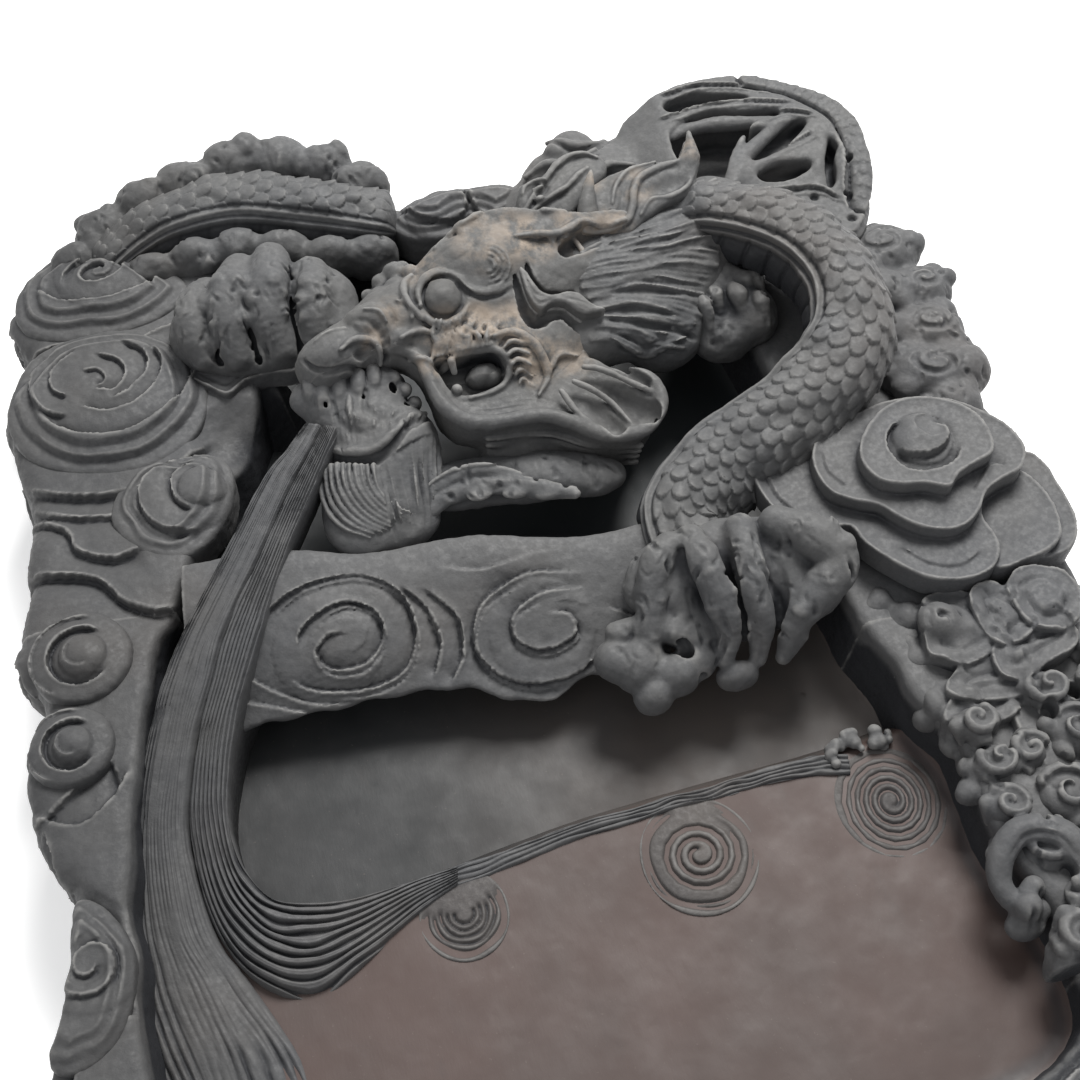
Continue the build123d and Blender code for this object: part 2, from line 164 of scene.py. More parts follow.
# ================================================================ relief: a carved height map
class Relief:
    """Heights over a rectangle of the plan, cut by lines as a chisel would."""

    def __init__(self, low, high, step, height):
        self.low, self.step = np.array(low, float), step
        self.size = [int(math.ceil((h - l) / step)) + 1 for l, h in zip(low, high)]
        self.x = (low[0] + step * np.arange(self.size[0], dtype=np.float32))[:,
                None] * np.ones((1, self.size[1]), np.float32)
        self.y = (low[1] + step * np.arange(self.size[1], dtype=np.float32))[None,
                :] * np.ones((self.size[0], 1), np.float32)
        self.h = np.full(self.size, height, np.float32)

    def window(self, points, margin):
        low = (np.min(points, 0) - margin - self.low) / self.step
        high = (np.max(points, 0) + margin - self.low) / self.step
        lows = [int(np.clip(v, 0, n - 1)) for v, n in zip(low, self.size)]
        highs = [int(np.clip(v + 2, 1, n)) for v, n in zip(high, self.size)]
        return slice(lows[0], highs[0]), slice(lows[1], highs[1])

    def ledge(self, points, depth, width=5.0, lip=0.35, fade=0.12, smooth=True):
        """A cut that is steep on the left of the line and runs out gently on its right."""
        line = smooth_curve(points) if smooth else np.array(points, float)
        w = self.window(line, width * 4)
        d, side, place = line_distance(self.x[w], self.y[w], line)
        ends = step_up(place, 0, fade) * (1 - step_up(place, 1 - fade, 1)) if fade > 0 else 1.0
        at_end = (place <= 0) | (place >= 1)
        cut = np.where(side < 0, -depth * np.exp(-d / width), lip * np.exp(-(d / 1.1) ** 2))
        cut = cut * step_up(np.where(side < 0, d, 0.5), -0.3, 0.5)
        self.h[w] += np.where(at_end, 0, cut * ends)

    def groove(self, points, depth, width=0.9, smooth=True, fade=0.08):
        """A round-bottomed cut along a line."""
        line = smooth_curve(points) if smooth else np.array(points, float)
        w = self.window(line, width * 3)
        d, _, place = line_distance(self.x[w], self.y[w], line)
        ends = step_up(place, 0, fade) * (1 - step_up(place, 1 - fade, 1)) if fade > 0 else 1.0
        self.h[w] -= depth * ends * np.exp(-(d / width) ** 2)

    def dome(self, centre, radius, height, power=0.5):
        """A round swelling."""
        w = self.window([centre], radius + 2)
        r2 = ((self.x[w] - centre[0]) ** 2 + (self.y[w] - centre[1]) ** 2) / radius ** 2
        self.h[w] += height * np.maximum(1 - r2, 0) ** power

    def at(self, x, y):
        """Heights at the points of another grid."""
        i = np.clip(((x - self.low[0]) / self.step + 0.5).astype(int), 0, self.size[0] - 1)
        j = np.clip(((y - self.low[1]) / self.step + 0.5).astype(int), 0, self.size[1] - 1)
        return self.h[i, j]


# ================================================================ clay: a block of voxels
class Clay:
    """A block of distances, negative inside the stone."""

    def __init__(self, low, high, step):
        self.low, self.step = np.array(low, float), step
        self.size = [int(math.ceil((h - l) / step)) + 1 for l, h in zip(low, high)]
        self.field = np.full(self.size, FAR, np.float32)
        self.axes = [(low[i] + step * np.arange(self.size[i])).astype(np.float32) for i in range(3)]

    def window(self, low, high):
        slices = []
        for i in range(3):
            a = int(np.clip((low[i] - self.low[i]) / self.step, 0, self.size[i] - 1))
            b = int(np.clip((high[i] - self.low[i]) / self.step + 2, a + 1, self.size[i]))
            slices.append(slice(a, b))
        x = self.axes[0][slices[0]][:, None, None]
        y = self.axes[1][slices[1]][None, :, None]
        z = self.axes[2][slices[2]][None, None, :]
        return tuple(slices), x, y, z

    def plan(self):
        """The X and Y of the whole block, as a map."""
        return np.broadcast_arrays(self.axes[0][:, None], self.axes[1][None, :])

    def join(self, w, shape, blend, cut):
        if cut:
            self.field[w] = smooth_max(self.field[w], -shape, blend)
        else:
            self.field[w] = smooth_min(self.field[w], shape, blend)

    def ball(self, centre, radii, blend=1.0, cut=False, axes=None):
        """An ellipsoid. axes are its own directions, as rows."""
        radii = np.broadcast_to(np.array(radii, float), 3)
        reach = radii.max() + blend + 2 * self.step
        w, x, y, z = self.window(np.array(centre) - reach, np.array(centre) + reach)
        dx, dy, dz = x - centre[0], y - centre[1], z - centre[2]
        if axes is not None:
            m = np.array(axes, float)
            dx, dy, dz = (m[i, 0] * dx + m[i, 1] * dy + m[i, 2] * dz for i in range(3))
        k0 = np.sqrt((dx / radii[0]) ** 2 + (dy / radii[1]) ** 2 + (dz / radii[2]) ** 2)
        k1 = np.sqrt((dx / radii[0] ** 2) ** 2 + (dy / radii[1] ** 2) ** 2 + (dz / radii[2] ** 2) ** 2)
        self.join(w, (k0 * (k0 - 1) / np.maximum(k1, 1e-4)).astype(np.float32), blend, cut)

    def tube(self, points, radii, blend=0.6, cut=False, parts=5, flat=None, smooth=True):
        """A round line through points. flat = (direction, factor) thins it along a direction."""
        line = smooth_curve(points, parts=parts) if smooth and len(points) > 2 else np.array(points, float)
        radii = np.interp(np.linspace(0, 1, len(line)), np.linspace(0, 1, len(radii)), radii)
        reach = radii.max() + blend + 2 * self.step
        whole, _, _, _ = self.window(line.min(0) - reach, line.max(0) + reach)
        best = np.full([s.stop - s.start for s in whole], FAR, np.float32)
        squeeze = None
        if flat is not None:
            n = np.array(flat[0], float)
            squeeze = (n / np.linalg.norm(n), flat[1])
        for i in range(len(line) - 1):
            p, q = line[i], line[i + 1]
            w, x, y, z = self.window(np.minimum(p, q) - reach, np.maximum(p, q) + reach)
            inner = tuple(slice(a.start - b.start, a.stop - b.start) for a, b in zip(w, whole))
            dx, dy, dz = x - p[0], y - p[1], z - p[2]
            e = q - p
            if squeeze is not None:
                n, f = squeeze
                along = (dx * n[0] + dy * n[1] + dz * n[2]) * (f - 1)
                dx, dy, dz = dx + along * n[0], dy + along * n[1], dz + along * n[2]
                e = e + n * (e @ n) * (f - 1)
            t = np.clip((dx * e[0] + dy * e[1] + dz * e[2]) / (e @ e + 1e-9), 0, 1)
            d = np.sqrt((dx - e[0] * t) ** 2 + (dy - e[1] * t) ** 2 + (dz - e[2] * t) ** 2)
            d -= radii[i] + (radii[i + 1] - radii[i]) * t
            best[inner] = np.minimum(best[inner], d)
        self.join(whole, best, blend, cut)

    def ridge(self, plan, radii, lift=0.0, cut=False, blend=0.5, smooth=True):
        """A cord, or with cut a groove, drawn on the top of the clay along points of the plan."""
        line = smooth_curve(plan) if smooth else np.array(plan, float)
        heights = []
        for x, y in line:
            i = int(np.clip(round((x - self.low[0]) / self.step), 0, self.size[0] - 1))
            j = int(np.clip(round((y - self.low[1]) / self.step), 0, self.size[1] - 1))
            inside = np.nonzero(self.field[i, j] < 0)[0]
            heights.append(self.axes[2][inside[-1]] + self.step / 2 if len(inside) else np.nan)
        heights = np.array(heights)
        known = ~np.isnan(heights)
        if known.sum() < 2:
            return
        places = np.arange(len(line))
        heights = np.interp(places, places[known], heights[known])
        if not cut:
            line, heights = line[known], heights[known]
        heights = np.convolve(np.pad(heights, 2, "edge"), np.ones(5) / 5, "valid")
        self.tube(np.column_stack([line, heights + lift]), radii, blend, cut, smooth=False)

    def slab(self, outline, bottom, top, blend=0.0, edge=1.0, foot=0.5, cut=False):
        """A region of the plan between two heights, each a number or a map over the whole block."""
        line = np.array(outline, float)
        reach = blend + 3 * self.step + 3
        w, x, y, z = self.window([*(line.min(0) - reach), self.low[2]],
                                 [*(line.max(0) + reach), self.axes[2][-1]])
        gx, gy = np.broadcast_arrays(x[:, :, 0], y[:, :, 0])
        d = inside_distance(gx, gy, line)[:, :, None]
        tops = top[w[0], w[1]][:, :, None] if isinstance(top, np.ndarray) else top
        feet = bottom[w[0], w[1]][:, :, None] if isinstance(bottom, np.ndarray) else bottom
        shape = smooth_max(smooth_max(d, z - tops, edge), feet - z, foot)
        self.join(w, shape.astype(np.float32), blend, cut)


def box_blur(a, cells):
    """A mean over a cube of voxels, by running sums."""
    for axis in range(3):
        n = a.shape[axis]
        total = np.cumsum(a, axis, dtype=np.float32)
        total = np.concatenate([np.zeros_like(np.take(total, [0], axis)), total], axis)
        high = np.minimum(np.arange(n) + cells + 1, n)
        low = np.maximum(np.arange(n) - cells, 0)
        a = (np.take(total, high, axis) - np.take(total, low, axis))
        shape = [1, 1, 1]
        shape[axis] = n
        a /= (high - low).reshape(shape)
    return a


# ================================================================ meshes
LATTICE = np.random.default_rng(77).random((32, 32, 32)).astype(np.float32) * 2 - 1


def rough_at(points, size):
    """Soft random values between -1 and 1 at points of space, with lumps of about a size."""
    p = points / size
    low = np.floor(p).astype(int)
    f = (p - low).astype(np.float32)
    f = f * f * (3 - 2 * f)
    value = np.zeros(len(points), np.float32)
    for corner in range(8):
        step = np.array([corner & 1, corner >> 1 & 1, corner >> 2 & 1])
        i, j, k = ((low + step) % 32).T
        weight = np.prod(np.where(step == 1, f, 1 - f), axis=1)
        value += weight * LATTICE[i, j, k]
    return value


THIN_FROM = 60000  # pieces with more triangles than this are thinned where they are flat
THIN_KEEP = 0.15  # the share kept of the triangles above that


def make_mesh(name, node, points, quads, hollow, crease, material, slot, rough=1.0):
    """A closed mesh in the stone's frame that stands for one CAD node, its surface uneven as by hand."""
    a, b, c = points[quads[:, 0]], points[quads[:, 1]], points[quads[:, 2]]
    d = points[quads[:, 3]]
    if np.einsum("ij,ij->i", a, np.cross(b, c)).sum() + np.einsum("ij,ij->i", a, np.cross(c, d)).sum() < 0:
        quads = quads[:, ::-1]
    mesh = bpy.data.meshes.new(name)
    mesh.vertices.add(len(points))
    mesh.vertices.foreach_set("co", points.astype(np.float32).ravel())
    mesh.loops.add(quads.size)
    mesh.loops.foreach_set("vertex_index", quads.astype(np.int32).ravel())
    mesh.polygons.add(len(quads))
    mesh.polygons.foreach_set("loop_start", np.arange(0, quads.size, 4, dtype=np.int32))
    mesh.update(calc_edges=True)
    normals = np.empty(points.size, np.float32)
    mesh.vertex_normals.foreach_get("vector", normals)
    uneven = 0.26 * rough_at(points, 7.0) + 0.17 * rough_at(points + 50, 3.0) + 0.10 * rough_at(points + 90,
            1.4)
    points = points + normals.reshape(-1, 3) * (rough * uneven)[:, None]
    mesh.vertices.foreach_set("co", (points * MM).astype(np.float32).ravel())
    mesh.polygons.foreach_set("use_smooth", np.ones(len(quads), bool))
    for label, values in (("hollow", hollow), ("crease", crease)):
        mesh.attributes.new(label, "FLOAT", "POINT").data.foreach_set("value", values.astype(np.float32))
    mesh.update()
    mesh.materials.append(material)
    piece = bpy.data.objects.new(name, mesh)
    bpy.context.collection.objects.link(piece)
    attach(piece, "root")
    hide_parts(*([node] if isinstance(node, str) else node))
    triangles = 2 * len(quads)
    if triangles > THIN_FROM:
        thin = piece.modifiers.new("thin_flat_parts", "DECIMATE")
        thin.ratio = (THIN_FROM + THIN_KEEP * (triangles - THIN_FROM)) / triangles
    print(name, triangles, "triangles")
    return piece


def sample(block, points):
    """Values of a block of voxels at points between them."""
    low = np.clip(np.floor(points).astype(int), 0, np.array(block.shape) - 2)
    f = (points - low).astype(np.float32)
    value = np.zeros(len(points), np.float32)
    for corner in range(8):
        step = np.array([corner & 1, corner >> 1 & 1, corner >> 2 & 1])
        i, j, k = (low + step).T
        value += np.prod(np.where(step == 1, f, 1 - f), axis=1) * block[i, j, k]
    return value


def skin(clay, name, node, material, slot, place=None, rough=1.0, stain=None):
    """Skins a block of clay. place moves its points into the stone's frame, stain raises the hollow value of
    some of them, which darkens them: painted shade, with old ink in the well.
    """
    field = clay.field
    for axis in range(3):
        edge = [slice(None)] * 3
        for side in (0, -1):
            edge[axis] = side
            field[tuple(edge)] = np.maximum(field[tuple(edge)], clay.step)
    grid = vdb.FloatGrid(FAR)
    grid.copyFromArray(np.ascontiguousarray(field))
    points, quads = grid.convertToQuads(0.0)
    filled = np.clip(0.5 - field / clay.step, 0, 1)
    crease, hollow = (sample(box_blur(filled, max(1, int(round(reach / clay.step)))),
                             points) for reach in (1.2, 4.5))
    points = clay.low + points * clay.step
    if place is not None:
        points = place(points)
    # painted shade, with old ink in the well, added to the hollow value
    if stain is not None:
        hollow = hollow + stain(points)
    return make_mesh(name, node, points, quads, hollow, crease, material, slot, rough)


# ================================================================ materials
class Nodes:
    """Small helper around a material's node tree."""

    def __init__(self, name):
        self.material = bpy.data.materials.new(name)
        self.material.use_nodes = True
        self.tree = self.material.node_tree
        self.shader = self.tree.nodes["Principled BSDF"]

    def link(self, value, socket):
        if isinstance(value, bpy.types.NodeSocket):
            self.tree.links.new(value, socket)
        else:
            socket.default_value = value

    def noise(self, scale_mm, detail=3.0, rough=0.55, stretch=(1, 1, 1), seed=0.0):
        place = self.tree.nodes.new("ShaderNodeNewGeometry").outputs["Position"]
        mapping = self.tree.nodes.new("ShaderNodeMapping")
        mapping.inputs["Scale"].default_value = [1 / (scale_mm * MM * s) for s in stretch]
        mapping.inputs["Location"].default_value = (seed, seed * 1.7, seed * 0.6)
        self.link(place, mapping.inputs["Vector"])
        node = self.tree.nodes.new("ShaderNodeTexNoise")
        node.inputs["Scale"].default_value = 1.0
        node.inputs["Detail"].default_value = detail
        node.inputs["Roughness"].default_value = rough
        self.link(mapping.outputs[0], node.inputs["Vector"])
        return node.outputs["Fac"]

    def attribute(self, label):
        node = self.tree.nodes.new("ShaderNodeAttribute")
        node.attribute_name = label
        return node.outputs["Fac"]

    def ramp(self, value, low, high, to_low=0.0, to_high=1.0):
        node = self.tree.nodes.new("ShaderNodeMapRange")
        node.interpolation_type = "SMOOTHSTEP"
        for name, v in (("Value", value), ("From Min", low), ("From Max", high), ("To Min", to_low),
                        ("To Max", to_high)):
            self.link(v, node.inputs[name])
        return node.outputs[0]

    def math(self, kind, a, b=0.0):
        node = self.tree.nodes.new("ShaderNodeMath")
        node.operation = kind
        self.link(a, node.inputs[0])
        self.link(b, node.inputs[1])
        return node.outputs[0]

    def mix(self, factor, a, b, kind="MIX"):
        node = self.tree.nodes.new("ShaderNodeMix")
        node.data_type = "RGBA"
        node.blend_type = kind
        self.link(factor, node.inputs[0])
        for value, socket in ((a, node.inputs[6]), (b, node.inputs[7])):
            self.link((*value, 1.0) if isinstance(value, tuple) else value, socket)
        return node.outputs[2]

    def near(self, centre, radius_mm, soft_mm):
        """1 around a point of the stone, fading out."""
        place = self.tree.nodes.new("ShaderNodeNewGeometry").outputs["Position"]
        node = self.tree.nodes.new("ShaderNodeVectorMath")
        node.operation = "DISTANCE"
        self.link(place, node.inputs[0])
        node.inputs[1].default_value = [v * MM for v in centre]
        return self.ramp(node.outputs["Value"], radius_mm * MM, (radius_mm + soft_mm) * MM, 1.0, 0.0)

    def bump(self, height, depth_mm, strength=1.0, under=None):
        node = self.tree.nodes.new("ShaderNodeBump")
        node.inputs["Strength"].default_value = strength
        node.inputs["Distance"].default_value = depth_mm * MM
        self.link(height, node.inputs["Height"])
        if under is not None:
            self.link(under, node.inputs["Normal"])
        return node.outputs[0]


def slate(name, base, shade=(0.014, 0.015, 0.018), worn_and_highlight=(0.215, 0.212, 0.206), wear_and_highlight=0.7, tan_spots=(),
          grain=1.0):
    """Carved slate: painted shade and old ink darken the cuts, wear and a painted highlight pale the edges,
    painted shade darkens the stone's left side, with faint brown and chalky bloom.
    """
    n = Nodes(name)
    patches = n.ramp(n.noise(34, 4, seed=2.0), 0.35, 0.70)
    grains = n.ramp(n.noise(1.6, 4, 0.6, seed=5.0), 0.3, 0.75)
    cool = tuple(v * k for v, k in zip(base, (0.84, 0.86, 0.90)))
    colour = n.mix(patches, base, cool)
    colour = n.mix(n.math("MULTIPLY", n.ramp(n.noise(60, 3, seed=9.0), 0.52, 0.72), 0.35), colour,
                   (0.112, 0.098, 0.088))
    colour = n.mix(n.math("MULTIPLY", grains, 0.30), colour, tuple(v * 1.5 for v in base))
    for centre, radius, soft, strength in tan_spots:
        patch = n.math("MULTIPLY", n.near(centre, radius, soft),
                       n.ramp(n.noise(7, 4, 0.65, seed=3.0), 0.36, 0.60))
        colour = n.mix(n.math("MULTIPLY", patch, strength), colour, (0.33, 0.27, 0.215))
    place = n.tree.nodes.new("ShaderNodeNewGeometry").outputs["Position"]
    parts = n.tree.nodes.new("ShaderNodeSeparateXYZ")
    n.link(place, parts.inputs[0])
    # painted shade: darker towards the left side of the stone, below x = -70 mm
    colour = n.mix(n.ramp(parts.outputs[0], -0.070, -0.125, 0.0, 0.55), colour, tuple(v * 0.40 for v in base))
    hollow = n.attribute("hollow")
    crease = n.attribute("crease")
    # painted shade: darker in hollows and creases, where shade falls, together with old ink in the cuts
    ink_and_painted_shade = n.math("MAXIMUM", n.ramp(hollow, 0.53, 0.76, 0.0, 0.92), n.ramp(crease, 0.53, 0.70, 0.0, 0.85))
    colour = n.mix(ink_and_painted_shade, colour, shade)
    # wear and painted highlight: convex edges, where crease is low, are paler
    worn_and_highlit_edges = n.math("MULTIPLY", n.ramp(crease, 0.455, 0.29),
                   n.ramp(n.noise(5, 4, 0.6, seed=7.0), 0.28, 0.58, 0.25, 1.0))
    colour = n.mix(n.math("MULTIPLY", worn_and_highlit_edges, wear_and_highlight), colour, worn_and_highlight)
    n.link(colour, n.shader.inputs["Base Color"])
    n.link(n.ramp(grains, 0, 1, 0.70, 0.54), n.shader.inputs["Roughness"])
    n.shader.inputs["Specular IOR Level"].default_value = 0.26
    coarse = n.bump(n.noise(3.2, 5, 0.6, seed=1.0), 0.40 * grain, 0.5)
    n.link(n.bump(n.noise(0.7, 3, 0.6, seed=4.0), 0.13 * grain, 0.6, coarse), n.shader.inputs["Normal"])
    return n.material


def ground_slate():
    """The ground bed and the floor of the pool: smooth, purple-brown, darker and bluer down in the pool, with
    painted shade to the pool's left and back and in hollows and creases, painted light to its right, and wear
    and a painted highlight on edges.
    """
    n = Nodes("ground_slate")
    place = n.tree.nodes.new("ShaderNodeNewGeometry").outputs["Position"]
    parts = n.tree.nodes.new("ShaderNodeSeparateXYZ")
    n.link(place, parts.inputs[0])
    bed = n.mix(n.ramp(n.noise(45, 3, seed=1.0), 0.3, 0.7), (0.067, 0.045, 0.040), (0.056, 0.040, 0.036))
    # the pool floor runs from dark blue-grey on the left to brown on the right: partly its own tone, partly
    # painted shade on its lit left and painted light on its shaded right
    pool = n.mix(n.ramp(parts.outputs[0], -0.060, 0.035), (0.015, 0.016, 0.017), (0.066, 0.056, 0.051))
    pool = n.mix(n.ramp(n.noise(22, 4, seed=6.0), 0.35, 0.7, 0, 0.4), pool, (0.036, 0.036, 0.037))
    # painted shade: the pool floor darkens towards the back, under the bridge
    pool = n.mix(n.ramp(parts.outputs[1], 0.004, 0.030), pool, (0.016, 0.019, 0.021))
    colour = n.mix(n.ramp(parts.outputs[2], 19.5 * MM, 26.5 * MM), pool, bed)
    specks = n.ramp(n.noise(0.9, 2, 0.5, seed=8.0), 0.70, 0.78, 0, 0.25)
    colour = n.mix(specks, colour, (0.16, 0.135, 0.12))
    stain = n.ramp(n.noise(9, 5, 0.7, stretch=(1, 2.5, 1), seed=11.0), 0.55, 0.80, 0, 0.25)
    colour = n.mix(stain, colour, (0.050, 0.044, 0.042))
    # painted shade: darker in hollows and creases, with dried ink too where the bed meets the well's walls
    colour = n.mix(n.ramp(n.attribute("hollow"), 0.54, 0.80, 0.0, 0.80), colour, (0.018, 0.019, 0.022))
    colour = n.mix(n.ramp(n.attribute("crease"), 0.515, 0.60, 0.0, 0.75), colour, (0.020, 0.019, 0.020))
    # wear and painted highlight: convex edges are paler
    colour = n.mix(n.ramp(n.attribute("crease"), 0.485, 0.42, 0.0, 0.30), colour, (0.15, 0.12, 0.11))
    # the slab's outer wall below 17 mm: wear and painted highlight on its edges, painted shade in its creases
    wall = n.mix(n.ramp(n.attribute("crease"), 0.455, 0.29, 0.0, 0.6), (0.080, 0.080, 0.081),
                 (0.19, 0.188, 0.182))
    wall = n.mix(n.ramp(n.attribute("crease"), 0.53, 0.70, 0.0, 0.85), wall, (0.016, 0.017, 0.020))
    colour = n.mix(n.ramp(parts.outputs[2], 17.3 * MM, 16.6 * MM), colour, wall)
    n.link(colour, n.shader.inputs["Base Color"])
    n.link(n.ramp(n.noise(14, 4, seed=3.0), 0.3, 0.7, 0.46, 0.60), n.shader.inputs["Roughness"])
    n.shader.inputs["Specular IOR Level"].default_value = 0.3
    n.link(n.bump(n.noise(0.8, 3, 0.6, stretch=(1, 3, 1), seed=4.0), 0.05, 0.5), n.shader.inputs["Normal"])
    return n.material


# ================================================================ floor, lights and camera
TARGET = Vector((0.0, 10.0, 45.0)) * MM
VIEW_DISTANCE = 425.0 * MM
VIEW_AZIMUTH, VIEW_ELEVATION = math.radians(-13.0), math.radians(56.0)


def add_lamp(name, place, size, power, colour=(1, 1, 1)):
    light = bpy.data.lights.new(name, "AREA")
    light.size = size
    light.energy = power
    light.color = colour
    lamp = bpy.data.objects.new(name, light)
    lamp.location = Vector(place)
    lamp.rotation_euler = (Vector((0, 0, 0.04)) - lamp.location).to_track_quat("-Z", "Y").to_euler()
    bpy.context.collection.objects.link(lamp)


def stage_and_camera():
    """A plain pale floor, soft light from above and the camera at the stone's left front."""
    bpy.ops.mesh.primitive_plane_add(size=6.0, location=(0, 0, -0.0004))
    floor = bpy.context.object
    floor.name = "floor"
    n = Nodes("pale_floor")
    n.shader.inputs["Base Color"].default_value = (0.86, 0.86, 0.86, 1)
    n.shader.inputs["Roughness"].default_value = 0.9
    glow = n.tree.nodes.new("ShaderNodeEmission")
    glow.inputs["Color"].default_value = (1, 1, 1, 1)
    glow.inputs["Strength"].default_value = 0.42
    path = n.tree.nodes.new("ShaderNodeLightPath")
    seen = n.math("MAXIMUM", path.outputs["Is Camera Ray"],
                  n.math("MAXIMUM", path.outputs["Is Glossy Ray"], path.outputs["Is Transmission Ray"]))
    both = n.tree.nodes.new("ShaderNodeAddShader")
    picked = n.tree.nodes.new("ShaderNodeMixShader")
    n.link(n.shader.outputs[0], both.inputs[0])
    n.link(glow.outputs[0], both.inputs[1])
    n.link(seen, picked.inputs[0])
    n.link(n.shader.outputs[0], picked.inputs[1])
    n.link(both.outputs[0], picked.inputs[2])
    n.link(picked.outputs[0], n.tree.nodes["Material Output"].inputs["Surface"])
    floor.data.materials.append(n.material)

    world = bpy.data.worlds.new("soft_room")
    bpy.context.scene.world = world
    world.use_nodes = True
    background = world.node_tree.nodes["Background"]
    background.inputs["Color"].default_value = (0.97, 0.98, 1.0, 1)
    background.inputs["Strength"].default_value = 0.42
    tree = world.node_tree
    white = tree.nodes.new("ShaderNodeBackground")
    white.inputs["Color"].default_value = (1, 1, 1, 1)
    white.inputs["Strength"].default_value = 1.0
    path = tree.nodes.new("ShaderNodeLightPath")
    clear = tree.nodes.new("ShaderNodeMath")
    clear.operation = "MAXIMUM"
    tree.links.new(path.outputs["Is Glossy Ray"], clear.inputs[0])
    tree.links.new(path.outputs["Is Transmission Ray"], clear.inputs[1])
    seen = tree.nodes.new("ShaderNodeMath")
    seen.operation = "MAXIMUM"
    tree.links.new(path.outputs["Is Camera Ray"], seen.inputs[0])
    tree.links.new(clear.outputs[0], seen.inputs[1])
    picked = tree.nodes.new("ShaderNodeMixShader")
    tree.links.new(seen.outputs[0], picked.inputs[0])
    tree.links.new(background.outputs[0], picked.inputs[1])
    tree.links.new(white.outputs[0], picked.inputs[2])
    tree.links.new(picked.outputs[0], tree.nodes["World Output"].inputs["Surface"])
    add_lamp("window", (0.40, 0.75, 1.20), 0.6, 34.0, (1.0, 0.99, 0.97))
    add_lamp("fill", (-0.9, -0.8, 0.9), 1.2, 4.0)

    lens = bpy.data.cameras.new("camera")
    lens.lens = 50.0
    lens.sensor_width = 36.0
    lens.clip_start = 0.01
    camera = bpy.data.objects.new("camera", lens)
    back = Vector((math.sin(VIEW_AZIMUTH) * math.cos(VIEW_ELEVATION),
                   -math.cos(VIEW_AZIMUTH) * math.cos(VIEW_ELEVATION), math.sin(VIEW_ELEVATION)))
    camera.location = TARGET + back * VIEW_DISTANCE
    camera.rotation_euler = back.to_track_quat("Z", "Y").to_euler()
    bpy.context.collection.objects.link(camera)
    bpy.context.scene.camera = camera
    bpy.context.scene.view_settings.view_transform = "Standard"


stage_and_camera()
CARVED = slate("carved_slate", (0.086, 0.086, 0.087))
GROUND = ground_slate()
WASHED = slate("washed_slate", (0.060, 0.055, 0.053), wear_and_highlight=0.35)
DRAGON = slate("dragon_slate", (0.090, 0.090, 0.090), wear_and_highlight=0.75)

# ================================================================ the block: slab, banks and bed
STONE = smooth_curve(STONE_PLAN, closed=True)
WELL = smooth_curve(WELL_PLAN, closed=True)
STEP = 0.75  # voxels of the large regions


def outer_wall(x, y):
    """Distance to the outside of the stone, and how far round it each point of the plan is."""
    d = inside_distance(x, y, STONE)
    closed = np.vstack([STONE, STONE[:1]])
    _, _, place = line_distance(x, y, closed)
    return d, place * np.sqrt((np.diff(closed, axis=0) ** 2).sum(1)).sum()


def wall_relief(length, height, rng):
    """Clouds carved round the outer wall: a map over the way round and the height."""
    step = 0.75
    relief = Relief((0, 0), (length, height), step, 0.0)
    count = int(length / 44)
    for row, middle in enumerate((13.0, 33.0)):
        for i in range(count):
            u = (i + 0.5 * row) * length / count + rng.uniform(-5, 5)
            v = middle + rng.uniform(-2, 2)
            radius = rng.uniform(12, 16)
            relief.dome((u, v), radius, 2.6)
            turn = rng.choice([-1, 1])
            relief.ledge(spiral_points((u, v), radius * 0.86, 1.9, rng.uniform(0, 6.3), turn, 0.9), 1.5, 2.6,
                         0.3, smooth=False)
        for i in range(count * 2):
            u = (i + 0.3) * length / count / 2
            v = middle + rng.uniform(-8, 8)
            run = [(u - 16, v + rng.uniform(-3, 3)), (u - 5, v + 3), (u + 6, v - 2),
                   (u + 17, v + rng.uniform(-3, 3))]
            relief.ledge(run, rng.uniform(0.7, 1.3), 3.0, 0.25)
    return relief


